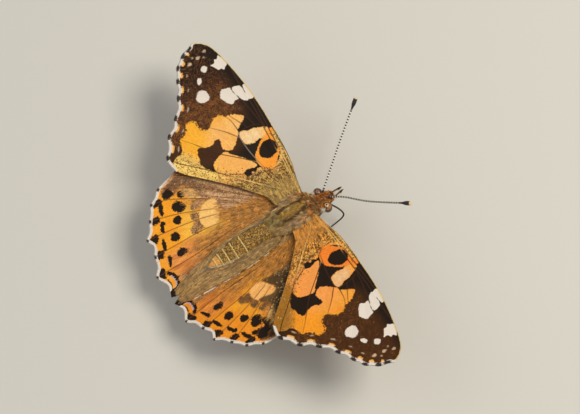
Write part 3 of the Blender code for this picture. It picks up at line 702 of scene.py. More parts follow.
fore_marks = {
    "wing_place": np.stack([u, v, 0 * u], axis=1),
    "wing_ray": rays(fore_spots, -0.4, -2.5, (0.0, 1.0)),
    "vein_gap": vein_gap,
    **face_marks(
        "upper", spot_count,
        light=fore_grounds["left"],
        dark=fore_darks["left"],
        white=colours(WHITE, *white_layers),
        dark_depth=dark_depth,
        white_depth=white_depth,
        ragged=0.75 + 1.3 * distal + 0.3 * gilt,
        vein_ink=0.8 * ease(5.0, 9.0, v) * (1 - 0.55 * warm) + 0.5 * in_base_vein,
        vein_tone=vein_tones["left"],
        pepper=0.5 * gilt + 0.34 * costal + 0.3 * strip + 0.4 * vein_rim,
        pepper_tone=colours(tone(64, 40, 20), (strip, tone(134, 90, 42))),
        glint=0.08 * gilt + 0.012 * strip + 0.08 * costal,
        streak=0.6 * gilt + 0.2 * strip + 0.16,
        streak_tone=colours(tone(226, 132, 52), (gilt, tone(140, 92, 40)), (strip, tone(170, 120, 56))),
    ),
    **face_marks(
        "lower", spot_count,
        light=colours(tone(214, 176, 118), (under_rose, tone(228, 112, 78)), (cell_patch, FORE_TONES["cream"][0])),
        dark=colours(BLACK_BROWN, (olive_tip, tone(166, 138, 98))),
        white=colours(WHITE, (0 * u, WHITE)),
        dark_depth=dark_depth,
        white_depth=np.maximum(union(FORE_WHITE, fore_spots) + 0.1, rim_white),
        vein_ink=0.5 * ease(3.0, 6.0, v),
        vein_tone=colours(tone(196, 172, 130), (0 * u, WHITE)),
        pepper=0.12 + 0.2 * olive_tip,
        pepper_tone=colours(tone(196, 172, 130), (0 * u, WHITE)),
    ),
}
fore_relief = (0.06 * np.exp(-((vein_gap / 0.11) ** 2)) * ease(0.0, 0.6, from_margin)).reshape(fore_net.shape[:2])
fore_sag = (-0.1 * ease(0.2, 1.5, vein_gap) * ease(0.0, 2.0, from_margin)).reshape(fore_net.shape[:2])
upper_scales = scaled_wing("upper_scales", "upper")
lower_scales = scaled_wing("lower_scales", "lower")
fore_middle = {}
for side_name, side in (("left", 1), ("right", -1)):
    middle = set_wing(fore_net, fore_sag, FORE_HINGE, FORE_SET[side_name], side)
    fore_middle[side_name] = middle
    marks = fore_marks | {"upper_light": fore_grounds[side_name], "upper_vein_tone": vein_tones[side_name],
                          "upper_fleck": FLECKS[side_name] * outward_brown, "upper_dark": fore_darks[side_name],
                          "upper_dark_depth": np.maximum(dark_depth, edge_shadow[side_name])}
    wing = wing_sheet(f"forewing_skin_{side_name}", middle, 0.09, fore_relief, marks, [upper_scales, lower_scales])
    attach(wing, "root")
    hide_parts(f"forewing_{side_name}")

# The hindwings
# Each is a rounded membrane under the forewing's rear edge, orange with rows of black spots and a dusky
# band. Its inner part is a grey-brown flap that folds up from a crease and lies against the abdomen.
HIND_HINGE = (-3.0, 2.6, -1.15)
HIND_SET = {"left": (13.5, 1.9, 0.7), "right": (14.4, -1.9, 2.6)}
HIND_LEAD = [
    (0.3, -0.9), (1.1, 1.8), (1.4, 4.5), (0.8, 8.0), (-1.2, 11.3), (-5.0, 14.3), (-10.0, 15.6), (-13.0, 15.05),
]
HIND_CREASE = [(-3.4, -0.9), (-5.5, 0.1), (-9.5, 0.3), (-16.0, -0.1), (-24.6, -1.3)]
HIND_MARGIN = [
    (-13.0, 15.05), (-14.5, 14.9), (-16.4, 14.5), (-17.6, 13.55), (-18.9, 12.95), (-19.7, 11.75),
    (-20.7, 10.7), (-21.6, 9.3), (-22.9, 8.2), (-22.5, 6.7), (-23.4, 5.2), (-23.9, 3.5), (-25.1, 2.1),
    (-24.3, 0.0), (-24.6, -1.3),
]
HIND_TEETH = [2, 4, 6, 8, 10, 12]
# The flap's free edge: (forward, out from the line where the two flaps meet, up, that line's shift to the left)
FLAP_EDGE = [
    (-6.4, 1.3, -0.9, 0.0), (-7.3, 1.75, -0.2, 0.0), (-9.6, 1.6, 0.7, 0.0), (-13.0, 1.6, 0.85, 0.0),
    (-16.6, 1.28, 0.5, 0.0), (-18.6, 0.72, 0.3, 0.0), (-20.6, 0.07, 0.22, -0.1), (-24.4, 0.05, -0.55, -0.5),
    (-26.3, 0.06, -1.35, -0.9),
]
# How much further out, and up, the right flap's edge lies, which bares the side of the tail
FLAP_SINK = [
    (0.0, 0.0), (0.0, 0.0), (0.0, 0.0), (0.0, -0.15), (0.04, -0.6), (0.04, -0.6), (0.0, -0.3), (0.0, 0.0), (0.0, 0.0),
]
FLAP_END = (-24.9, -2.1)
FLAP_TIP = -23.6
FLAP_BULGE = 0.4
FLAP_REACH = 3.2
HIND_VEINS = {
    "radius": [(0.0, -0.9), (-3.6, 6.5), (-8.0, 11.2), (-13.0, 15.0)],
    "media_1": [(-1.0, 0.4), (-1.9, 1.5), (-5.5, 6.0), (-10.0, 10.3), (-16.4, 14.5)],
    "media_2": [(-2.2, 1.4), (-6.5, 5.2), (-11.3, 9.0), (-14.5, 11.1), (-16.3, 12.1), (-18.9, 12.95)],
    "media_3": [(-7.0, 4.6), (-11.5, 6.8), (-15.7, 8.9), (-20.7, 10.7)],
    "cubitus_1": [(-1.4, -0.9), (-2.5, 1.2), (-7.5, 3.9), (-12.5, 5.9), (-17.5, 7.2), (-22.9, 8.2)],
    "cubitus_2": [(-8.0, 3.0), (-14.0, 4.3), (-18.8, 4.75), (-23.4, 5.2)],
    "anal": [(-2.2, -0.9), (-4.0, 0.8), (-9.0, 1.5), (-16.0, 1.5), (-20.0, 1.7), (-25.1, 2.1)],
}
HIND_DARK = {
    "disc_spot_1": [(-13.1, 11.5), (-13.5, 12.0), (-14.0, 11.8), (-14.1, 11.2), (-13.6, 10.9), (-13.2, 11.1)],
    "disc_spot_2": [
        (-14.1, 9.3), (-14.3, 10.3), (-15.0, 10.9), (-15.9, 10.7), (-16.2, 10.0), (-15.6, 9.2), (-14.8, 8.9),
    ],
    "disc_spot_3": [(-15.8, 8.2), (-16.2, 8.75), (-17.0, 8.6), (-17.35, 8.0), (-16.9, 7.5), (-16.2, 7.6)],
    "disc_spot_4": [(-17.7, 6.1), (-18.2, 6.7), (-19.0, 6.55), (-19.25, 5.9), (-18.8, 5.3), (-18.0, 5.4)],
    "disc_spot_5": [(-18.0, 3.3), (-18.6, 3.8), (-19.6, 3.7), (-19.9, 3.1), (-19.4, 2.7), (-18.4, 2.8)],
    "lens_2": [(-17.2, 12.0), (-17.8, 12.0), (-18.4, 10.7), (-18.2, 10.2), (-17.6, 11.0)],
    "lens_3": [(-18.7, 9.0), (-18.9, 9.4), (-19.4, 9.1), (-19.95, 8.0), (-19.6, 7.8), (-19.1, 8.4)],
    "lens_4": [(-20.4, 6.3), (-20.6, 7.0), (-21.0, 6.2), (-21.35, 5.2), (-20.9, 5.1)],
    "lens_5": [(-21.0, 3.6), (-21.3, 4.1), (-21.6, 3.5), (-22.1, 2.5), (-21.8, 2.3), (-21.4, 2.9)],
    "edge_1": [(-14.6, 13.0), (-15.3, 13.5), (-16.3, 13.1), (-16.4, 12.4), (-15.6, 12.1), (-14.7, 12.3)],
    "edge_2": [(-16.9, 12.5), (-17.5, 13.15), (-18.3, 13.05), (-18.9, 12.7), (-18.4, 12.05), (-17.3, 12.0)],
    "edge_3": [(-18.9, 10.2), (-19.3, 10.7), (-20.1, 10.7), (-20.7, 10.5), (-20.3, 9.75), (-19.4, 9.6)],
    "edge_4": [
        (-20.8, 7.9), (-21.2, 8.25), (-22.2, 8.2), (-23.1, 8.1), (-22.6, 7.3), (-21.8, 6.9), (-21.2, 7.2),
    ],
    "edge_5": [(-21.6, 5.2), (-22.2, 5.55), (-23.0, 5.35), (-23.5, 5.0), (-22.9, 4.4), (-22.0, 4.3)],
    "edge_6": [(-23.0, 2.4), (-23.7, 2.9), (-24.6, 2.65), (-25.2, 2.1), (-24.7, 1.4), (-24.0, 1.2), (-23.5, 1.8)],
}
HIND_PINK = [
    (-9.2, 7.3), (-9.7, 5.7), (-10.6, 4.2), (-12.0, 3.8), (-13.3, 4.6), (-13.4, 6.2), (-11.8, 7.7), (-10.2, 8.0),
]
HIND_CREAM = [(-11.1, 9.2), (-11.4, 10.8), (-12.3, 12.1), (-13.1, 11.5), (-12.7, 10.3), (-12.1, 9.3)]
HIND_DUSK = [
    (-2.0, 3.4), (-6.5, 4.3), (-8.8, 5.1), (-9.3, 7.5), (-10.8, 8.2), (-12.6, 7.7), (-12.4, 8.7), (-11.3, 9.3),
    (-11.3, 11.0), (-12.3, 12.5), (-13.6, 12.3), (-15.2, 12.1), (-16.4, 13.2), (-15.4, 14.0), (-13.5, 14.4),
    (-10.0, 15.8), (-4.0, 14.8), (0.5, 10.5), (1.5, 4.5),
]
# On the right wing only: a near-black painted shadow cast by the forewing beside it, and the right wing's larger front
# spots
HIND_RIGHT_SHADOW = [
    (-6.4, 4.6), (-8.2, 4.2), (-10.4, 3.9), (-9.9, 5.3), (-9.2, 6.5), (-10.1, 7.3), (-12.1, 6.8), (-12.8, 6.9),
    (-12.6, 7.6), (-11.5, 8.3), (-11.5, 9.4), (-11.7, 11.0), (-10.0, 11.2), (-8.2, 9.5), (-6.0, 7.0),
]
HIND_RIGHT_DARK = {
    "front_blotch": [
        (-16.8, 11.2), (-15.5, 11.4), (-14.7, 11.6), (-13.3, 11.2), (-13.0, 12.0), (-13.6, 12.8), (-14.4, 13.1),
        (-15.5, 13.1), (-16.3, 13.3), (-16.1, 12.6), (-16.3, 12.2), (-16.9, 11.9),
    ],
    "disc_spot_1": [(-14.0, 10.1), (-13.2, 10.5), (-13.3, 11.4), (-14.2, 11.6), (-14.5, 10.9)],
}
HIND_SMUDGES = [(-14.1, 5.4, 0.95), (-13.7, 7.0, 0.75), (-15.1, 5.0, 0.7), (-12.9, 8.5, 0.6)]
ANAL_LINE = [(-24.1, -1.8), (-22.9, -1.3), (-22.2, -0.1), (-22.4, 0.9), (-23.0, 1.6)]
ANAL_CRESCENT = [(-23.8, -1.5), (-23.0, -1.0), (-22.6, 0.1), (-22.85, 0.9)]
ANAL_RIM = [(-24.0, -1.2), (-23.6, -0.1), (-23.75, 1.2)]
EYE_RINGS = [(-15.1, 9.8, 0.8), (-16.6, 8.1, 0.6), (-18.5, 6.1, 0.7), (-19.0, 3.3, 0.85)]
# Tones for the left, then the right hindwing: the same scales, with painted light in the difference, the right painted
# darker, its dusk most of all
HIND_TONES = {
    "orange": (tone(255, 202, 84), tone(248, 174, 50)),
    "edge": (tone(255, 176, 46), tone(246, 158, 40)),
    "salmon": (tone(248, 168, 90), tone(240, 156, 70)),
    "hairy": (tone(220, 158, 72), tone(216, 152, 64)),
    "dusk": (tone(214, 174, 138), tone(140, 104, 68)),
    "cloud": (tone(124, 88, 62), tone(66, 50, 32)),
    "smudge": (tone(176, 138, 104), tone(106, 82, 54)),
    "pink": (tone(255, 212, 134), tone(255, 198, 124)),
}
# Per side: the strength of the painted highlight along the crease, and of the right wing's painted shadow
SILVER_LINES = {"left": 0.35, "right": 1.0}
PAINTED_SHADOW_SHARES = {"left": 0.0, "right": 0.9}
FLAP_BROWN = tone(196, 162, 106)
STREAK_BROWN = tone(130, 84, 38)

HIND_ROWS, HIND_COLUMNS, FLAP_COLUMNS = 210, 140, 40
lead = even_curve(HIND_LEAD, HIND_ROWS)
crease = even_curve(HIND_CREASE, HIND_ROWS)
hind_outer = even_curve(HIND_MARGIN, 600)
held_back = FRINGE * np.minimum(1, np.minimum(np.arange(600), np.arange(600)[::-1]) / 16)
hind_inner = hind_outer + (inset(hind_outer, 1.0) - hind_outer) * held_back[:, None]
margin = even_curve(hind_inner[::6], HIND_COLUMNS)
root = np.linspace(HIND_LEAD[0], HIND_CREASE[0], HIND_COLUMNS)
hind_net = wing_net(lead, crease, root, margin)
up_flap = np.linspace(0, 1, FLAP_COLUMNS + 1)[1:]
flap_net = crease[:, None] + up_flap[None, :, None] * np.array([0.0, -FLAP_REACH])
hind_all = np.concatenate([hind_net, flap_net], axis=1)
hind_spots = hind_all.reshape(-1, 2)
u, v = hind_spots.T
spot_count = len(u)
on_flap = np.broadcast_to(np.append(np.zeros(HIND_COLUMNS), up_flap), hind_all.shape[:2]).ravel()
vein_gap, vein_number = vein_gaps(HIND_VEINS, hind_spots)
from_margin = rim_distance(hind_spots, hind_inner)
from_tooth = tooth_distance(hind_spots, HIND_MARGIN, HIND_TEETH)
dark_depth = union(HIND_DARK, hind_spots) + 0.07
dark_depth = np.maximum(dark_depth, 0.32 - distance_to(ANAL_LINE, hind_spots)[0])
dark_depth = np.maximum(dark_depth, 0.13 - distance_to(ANAL_RIM, hind_spots)[0])
dark_depth = np.maximum(dark_depth, np.where(on_flap > 0, FLAP_TIP - u, -1))
dusk = ease(-0.25, 0.3, depth_in(HIND_DUSK, hind_spots))
smudge = np.zeros(spot_count)
for forward, out, size in HIND_SMUDGES:
    smudge = np.maximum(smudge, ease(size + 0.25, size - 0.25, np.hypot(u - forward, v - out)))
pink = ease(-0.12, 0.12, depth_in(HIND_PINK, hind_spots))
cream = ease(-0.2, 0.2, depth_in(HIND_CREAM, hind_spots))
dusk = dusk * (1 - pink)
smudge = smudge * (1 - pink)
near_edge = ease(6.5, 3.5, from_margin)
cloud = dusk * ease(8.5, 10.5, v) * ease(-8.0, -11.5, u) * (1 - cream)
hairy = np.maximum(ease(-12.0, -6.5, u + 0.35 * v), ease(4.8, 1.8, v) * ease(-20.5, -14.0, u)) * (1 - pink)
salmon = ease(5.0, 3.2, v) * ease(-13.0, -16.5, u) * ease(-23.0, -21.0, u)
grey = np.maximum(ease(0.5, -0.1, v) * ease(-22.8, -21.0, u), ease(0.0, 0.2, on_flap))
crescent = ease(0.2, 0.1, distance_to(ANAL_CRESCENT, hind_spots)[0])
beside_crease = distance_to(HIND_CREASE, hind_spots)[0]
broken = ease(-0.5, 0.1, np.sin(2.3 * u + 1.5 * np.sin(0.9 * u)) + 0.4 * ease(-12.0, -18.0, u))
# A painted highlight along the crease, broken into glints
silver = ease(0.3, 0.18, beside_crease) * ease(-4.5, -7.0, u) * ease(-24.5, -22.0, u) * broken
# A painted shadow on the flap beside the crease
crease_shadow = ease(0.6, 0.1, beside_crease) * ease(0.0, 0.1, on_flap)
rim_white = np.minimum(0.14 - from_margin, from_tooth - 0.3)
# A painted shadow of the forewing over the right hindwing
right_painted_shadow = ease(-0.2, 0.2, depth_in(HIND_RIGHT_SHADOW, hind_spots))
right_dark_depth = np.maximum(dark_depth, union(HIND_RIGHT_DARK, hind_spots))
fan = rays(hind_spots, 1.0, -0.6, (-0.95, 0.312))
strands = 0.5 + 0.5 * np.sin(8.6 * fan[:, 0] + 2.4 * np.sin(7.0 * fan[:, 1] + 0.9 * fan[:, 0]))
flap_strands = 0.5 + 0.5 * np.sin(52.0 * on_flap + 2.2 * np.sin(0.6 * u + 5.0 * on_flap))
marbling = 0.6 * np.sin(1.1 * u + 1.4 * np.sin(0.8 * v)) * np.cos(1.3 * v + 1.1 * np.sin(0.7 * u)) - 0.05
rings = []
for forward, out, size in EYE_RINGS:
    away = np.hypot(u - forward, v - out) / size
    rings += [(ease(1.15, 1.0, away), BLACK_BROWN), (ease(0.85, 0.75, away), tone(214, 176, 84)),
              (ease(0.6, 0.5, away), BLACK_BROWN), (ease(0.3, 0.2, away), tone(120, 140, 170))]
    marbling = np.where(away < 1.2, -0.5, marbling)
hind_grounds = {}
for number, side_name in enumerate(("left", "right")):
    shade = {key: pair[number] for key, pair in HIND_TONES.items()}
    # Painted light among the layers: the right wing's painted shadow, the painted shadow beside the crease and the
    # painted highlight along it
    hind_grounds[side_name] = colours(
        shade["orange"], (near_edge, shade["edge"]), (salmon, shade["salmon"]), (hairy, shade["hairy"]),
        (0.5 * strands * np.maximum(hairy, 0.5 * salmon), tone(140, 84, 30)),
        (0.9 * dusk, shade["dusk"]), (0.9 * smudge, shade["smudge"]), (0.9 * cloud, shade["cloud"]),
        (pink, shade["pink"]), (cream, tone(247, 204, 130)), (PAINTED_SHADOW_SHARES[side_name] * right_painted_shadow, tone(58, 52, 34)),
        (grey, FLAP_BROWN), (0.55 * flap_strands * grey, tone(128, 98, 56)), (crease_shadow, tone(126, 94, 54)),
        (SILVER_LINES[side_name] * silver, tone(236, 226, 212)), (crescent, tone(190, 182, 206)),
    )
hind_marks = {
    "wing_place": np.stack([u, v, 0 * u], axis=1),
    "wing_ray": fan,
    "vein_gap": vein_gap,
    **face_marks(
        "upper", spot_count,
        light=hind_grounds["left"],
        dark=colours(BLACK_BROWN, (0 * u, BLACK_BROWN)),
        white=colours(WHITE, (0 * u, WHITE)),
        dark_depth=dark_depth,
        white_depth=rim_white,
        ragged=1.25 + 0 * u,
        vein_ink=0.65 * ease(-8.0, -12.0, u) * (1 - grey) + 0.25 * hairy * (1 - grey),
        vein_tone=colours(tone(96, 52, 22), (0 * u, WHITE)),
        pepper=0.22 * hairy + 0.5 * np.maximum(dusk, smudge) * (1 - hairy) + 0.1 * grey,
        pepper_tone=colours(tone(92, 64, 42), (0 * u, WHITE)),
        glint=0.06 * hairy + 0.04 * dusk + 0.04 * grey,
        streak=(np.maximum(0.7 * hairy, np.maximum(0.4 * salmon, 0.5 * grey)) + 0.1 * (1 - pink) + 0.1) * (1 - silver),
        streak_tone=colours(STREAK_BROWN, (salmon * (1 - hairy), tone(170, 92, 44)),
                            (1 - np.maximum(np.maximum(hairy, salmon), grey), tone(206, 118, 44))),
    ),
    **face_marks(
        "lower", spot_count,
        light=colours(tone(212, 190, 150), *rings),
        dark=colours(tone(122, 98, 64), (ease(-12.0, -15.0, u), tone(150, 116, 74))),
        white=colours(tone(228, 216, 190), (0 * u, WHITE)),
        dark_depth=marbling,
        white_depth=np.maximum(0.1 - vein_gap, rim_white),
        pepper=0.15 + 0 * u,
        pepper_tone=colours(tone(92, 72, 48), (0 * u, WHITE)),
    ),
}
hind_relief = (0.05 * np.exp(-((vein_gap / 0.12) ** 2)) * ease(0.0, 0.6, from_margin)).reshape(hind_all.shape[:2])
hind_sag = (-0.12 * ease(0.2, 1.5, vein_gap) * ease(0.0, 2.0, from_margin)).reshape(hind_all.shape[:2])
hind_middle = {}
for side_name, side in (("left", 1), ("right", -1)):
    blade = set_wing(hind_net, hind_sag[:, :HIND_COLUMNS], HIND_HINGE, HIND_SET[side_name], side)
    end = set_wing(np.array(FLAP_END), 0.0, HIND_HINGE, HIND_SET[side_name], side)
    rim = np.array(FLAP_EDGE)
    if side_name == "right":
        rim[:, 1:3] += FLAP_SINK
    edge_points = np.vstack([rim[:, :3] * [1, side, 1] + rim[:, 3:] * [[0, 1, 0]], end])
    free_edge = even_curve(edge_points, HIND_ROWS)
    fold = blade[:, -1]
    swell = FLAP_BULGE * np.sin(pi * np.linspace(0, 1, HIND_ROWS))[:, None] * np.sin(pi * up_flap)[None]
    flap = fold[:, None] + up_flap[None, :, None] * (free_edge - fold)[:, None]
    flap[..., 1] += side * swell
    middle = np.concatenate([blade, flap], axis=1)
    hind_middle[side_name] = middle
    marks = hind_marks | {"upper_light": hind_grounds[side_name]}
    if side_name == "right":
        marks["upper_dark_depth"] = right_dark_depth
        # Fewer rays under the painted shadow
        marks["upper_streak"] = hind_marks["upper_streak"] * (1 - 0.85 * right_painted_shadow)
    wing = wing_sheet(f"hindwing_skin_{side_name}", middle, 0.09, hind_relief, marks, [upper_scales, lower_scales])
    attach(wing, "root")
    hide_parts(f"hindwing_{side_name}")

# The body's skin
# Head, thorax and abdomen are one jacket of dark plates, laid over each other and hidden under scales
# and hair. The abdomen shows a pale band at the rear edge of each plate. It carries the wings and legs.
BODY_STATIONS = [
    (4.78, 0.03, -1.95, 0.03), (4.72, 0.35, -1.95, 0.38), (4.5, 0.62, -1.93, 0.72), (4.1, 0.85, -1.88, 1.0),
    (3.5, 1.05, -1.83, 1.22), (2.9, 1.2, -1.8, 1.32), (2.4, 1.3, -1.7, 1.3), (2.0, 1.4, -1.52, 1.28),
    (1.7, 1.44, -1.37, 1.3), (1.4, 1.54, -1.24, 1.4), (1.0, 1.74, -1.1, 1.55), (0.4, 2.0, -0.95, 1.86),
    (-0.6, 2.28, -0.8, 2.2), (-2.0, 2.48, -0.67, 2.4), (-4.2, 2.34, -0.6, 2.3), (-6.0, 1.9, -0.55, 1.9),
    (-7.1, 1.5, -0.48, 1.5), (-7.9, 1.42, -0.38, 1.45), (-9.0, 1.52, -0.3, 1.56), (-10.6, 1.68, -0.26, 1.72),
    (-12.6, 1.74, -0.22, 1.78), (-14.6, 1.62, -0.17, 1.65), (-16.1, 1.4, -0.11, 1.42), (-17.3, 1.1, -0.05, 1.12),
    (-18.4, 0.76, 0.0, 0.78), (-19.2, 0.42, 0.03, 0.43), (-19.6, 0.16, 0.05, 0.16), (-19.68, 0.02, 0.05, 0.02),
]
PLATE_EDGES = [-8.7, -10.7, -12.7, -14.6, -16.1, -17.3, -18.4]
PALE_BANDS = [-12.7, -14.6, -16.1, -17.3, -18.3]
HEAD_SHIFT = -0.3
SHOULDER_LOBE = [(0.55, 1.2), (-0.3, 1.75), (-1.6, 2.1), (-3.0, 2.25)]
BACK_GROOVE = [(0.1, 0.55), (-1.2, 0.95), (-3.0, 1.15), (-4.8, 0.8)]
COLLAR_GROOVES = [0.15, 1.75]
BODY_ROWS, BODY_SIDES = 420, 96


def middle_line(x):
    """How far left of the middle plane the body's own middle lies: the head is held a little to the right."""
    return HEAD_SHIFT * ease(0.4, 2.2, x)


def tube_net(stations, rows, sides):
    """A profile carried along the body: oval rings of half width a and half height b about its middle line."""
    line = even_curve(np.asarray(stations)[:, [0, 1, 2, 3]], rows)
    forward, half_width, height, half_height = line.T
    turn = np.linspace(0, 2 * pi, sides, endpoint=False)[None]
    x = np.repeat(forward[:, None], sides, axis=1)
    return np.stack([x, middle_line(x) + half_width[:, None] * np.sin(turn),
                     height[:, None] + half_height[:, None] * np.cos(turn)], axis=-1)


def outward(net):
    """Unit normals of a net that closes across its columns, made to point away from each row's middle."""
    round_net = np.concatenate([net[:, -1:], net, net[:, :1]], axis=1)
    cross = np.cross(np.gradient(net, axis=0), (round_net[:, 2:] - round_net[:, :-2]) / 2)
    cross /= np.maximum(np.linalg.norm(cross, axis=-1, keepdims=True), 1e-12)
    away = ((net - net.mean(axis=1, keepdims=True)) * cross).sum(-1, keepdims=True)
    return cross * np.where(away < 0, -1.0, 1.0)


def tube_piece(name, net, looks, marks=None):
    """A closed skin over a net of rings, with its two ends closed by fans round their middle points."""
    rows, sides = net.shape[:2]
    number = np.arange(rows * sides).reshape(rows, sides)
    after = np.roll(number, -1, axis=1)
    first = np.stack([number[:-1], after[:-1], after[1:]], axis=-1).reshape(-1, 3)
    second = np.stack([number[:-1], after[1:], number[1:]], axis=-1).reshape(-1, 3)
    start, end = rows * sides, rows * sides + 1
    near = np.stack([after[0], number[0], np.full(sides, start)], axis=-1)
    far = np.stack([number[-1], after[-1], np.full(sides, end)], axis=-1)
    faces = np.concatenate([first, second, near, far])
    points = np.vstack([net.reshape(-1, 3), net[0].mean(0), net[-1].mean(0)])
    s = np.append(np.repeat(np.linspace(0.02, 0.98, rows), sides), [0.01, 0.99])
    t = np.append(np.tile(np.arange(sides) / sides, rows), [0.5, 0.5])
    chart = np.stack([t * 0.96 + 0.02, s], axis=1)
    flat = chart[faces]
    wrapped = np.ptp(flat[..., 0], axis=1) > 0.5
    low = flat[..., 0] < 0.5
    flat[..., 0] += np.where(wrapped[:, None] & low & (faces < start), 0.96, 0.0)
    if marks:
        ends = {key: np.stack([value[:sides].mean(0), value[-sides:].mean(0)]) for key, value in marks.items()}
        marks = {key: np.concatenate([value, ends[key]]) for key, value in marks.items()}
    return make_piece(name, place(points), faces, looks, None, marks, flat)


def body_tones(x, y, z, turned_up):
    """The coat's colour at a place: rusty head, collar and shoulder lobes, a gilt-olive back between
    grooves painted brown as shade, beige sides, a blue-grey rump, a speckled olive abdomen with pale
    flanks, and a pale belly."""
    across = np.abs(y - middle_line(x))
    plan = np.stack([x, across], axis=1)
    above = ease(-0.2, 0.15, turned_up)
    head = ease(1.6, 1.9, x)
    brow = head * ease(0.75, 0.4, across) * above
    collar = ease(0.15, 0.35, x) * (1 - head)
    collar_band = collar * np.maximum(ease(0.24, 0.12, np.abs(x - 0.55)), ease(0.24, 0.12, np.abs(x - 1.3)))
    abdomen = ease(-6.6, -7.8, x)
    thorax = (1 - abdomen) * (1 - head) * (1 - collar)
    lobe = thorax * ease(0.62, 0.3, distance_to(SHOULDER_LOBE, plan)[0]) * above
    # The brown in the back's grooves is painted shade in their hollows
    groove = thorax * ease(0.5, 0.1, distance_to(BACK_GROOVE, plan)[0]) * above
    outer = thorax * ease(1.0, 1.5, across) * (1 - lobe)
    rump = ease(-3.9, -5.2, x) * ease(-8.4, -7.0, x) * ease(1.3, 0.6, across)
    belly = ease(-0.1, -0.6, turned_up)
    flank = abdomen * ease(0.6, 0.3, turned_up) * ease(-12.0, -15.0, x)
    tail = ease(-17.3, -17.7, x)
    return colours(tone(186, 146, 66), (0.8 * outer, tone(204, 168, 112)), (0.95 * groove, tone(92, 54, 20)),
                   (lobe * ease(-2.6, -0.8, x), tone(186, 128, 66)), (lobe * ease(-0.8, -2.6, x), tone(216, 176, 126)),
                   (0.55 * rump, tone(174, 162, 110)), (collar, tone(180, 146, 88)), (collar_band, tone(170, 98, 34)),
                   (head, tone(196, 126, 50)), (brow, tone(166, 96, 32)), (abdomen, tone(147, 112, 49)),
                   (tail, tone(255, 190, 100)), (0.85 * flank, tone(255, 240, 200)), (belly, tone(214, 196, 156)))


def body_relief(x, y, turned_up):
    """Heights over the smooth body: a lip at each plate's rear edge, the shoulder lobes, and the grooves of
    the back and collar."""
    plan = np.stack([x.ravel(), np.abs(y - middle_line(x)).ravel()], axis=1)
    above = ease(-0.35, 0.1, turned_up)
    height = np.zeros_like(x)
    for edge in PLATE_EDGES:
        height += 0.07 * np.where(x > edge, ease(edge + 1.3, edge, x), ease(edge - 0.3, edge, x))
    lobe = distance_to(SHOULDER_LOBE, plan)[0].reshape(x.shape)
    groove = distance_to(BACK_GROOVE, plan)[0].reshape(x.shape)
    height += above * (0.3 * np.exp(-((lobe / 0.5) ** 4)) - 0.24 * np.exp(-((groove / 0.26) ** 2)))
    for edge in COLLAR_GROOVES:
        height -= 0.14 * np.exp(-(((x - edge) / 0.16) ** 2))
    return height


body_net = tube_net(BODY_STATIONS, BODY_ROWS, BODY_SIDES)
smooth_normal = outward(body_net)
body_net = body_net + smooth_normal * body_relief(body_net[..., 0], body_net[..., 1], smooth_normal[..., 2])[..., None]
body_normal = outward(body_net)
body_look = Finish("body_scales", 0.7)
grain = body_look.noise(9000.0, 2.0)
body_look.colour(body_look.mix(body_look.between(grain, 0.35, 0.65), body_look.mark("coat", "Color"), (0.03, 0.02, 0.012)))
body_look.bump(grain, 0.00004, 0.6)
body_marks = {"coat": body_tones(*body_net.reshape(-1, 3).T, body_normal[..., 2].ravel())}
body = tube_piece("body_skin", body_net, [body_look.material], body_marks)
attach(body, "root")
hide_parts("head", "thorax", "abdomen")

# The eyes
# Two round compound eyes of fine six-sided facets fill the sides of the head. They are tawny, with light
# painted on: a dark rim of painted shade, a pale ring of painted reflection, and the dark spots that show
# where the facets point at the viewer of a live eye.
EYE_CENTRE = (2.74, 1.4, -1.88)
EYE_RADII = (0.86, 1.0, 1.2)
# The spots: (ahead, out, up, size)
EYE_SPOTS = [
    (0.12, 0.02, 1.0, 0.22), (-0.18, 0.3, 0.92, 0.11), (-0.27, 0.44, 0.85, 0.12), (-0.35, 0.56, 0.74, 0.13),
    (-0.42, 0.68, 0.62, 0.13), (0.55, 0.3, 0.8, 0.1), (-0.45, -0.05, 0.9, 0.14), (-0.55, 0.1, 0.83, 0.12),
    (0.1, 0.75, 0.65, 0.09),
]
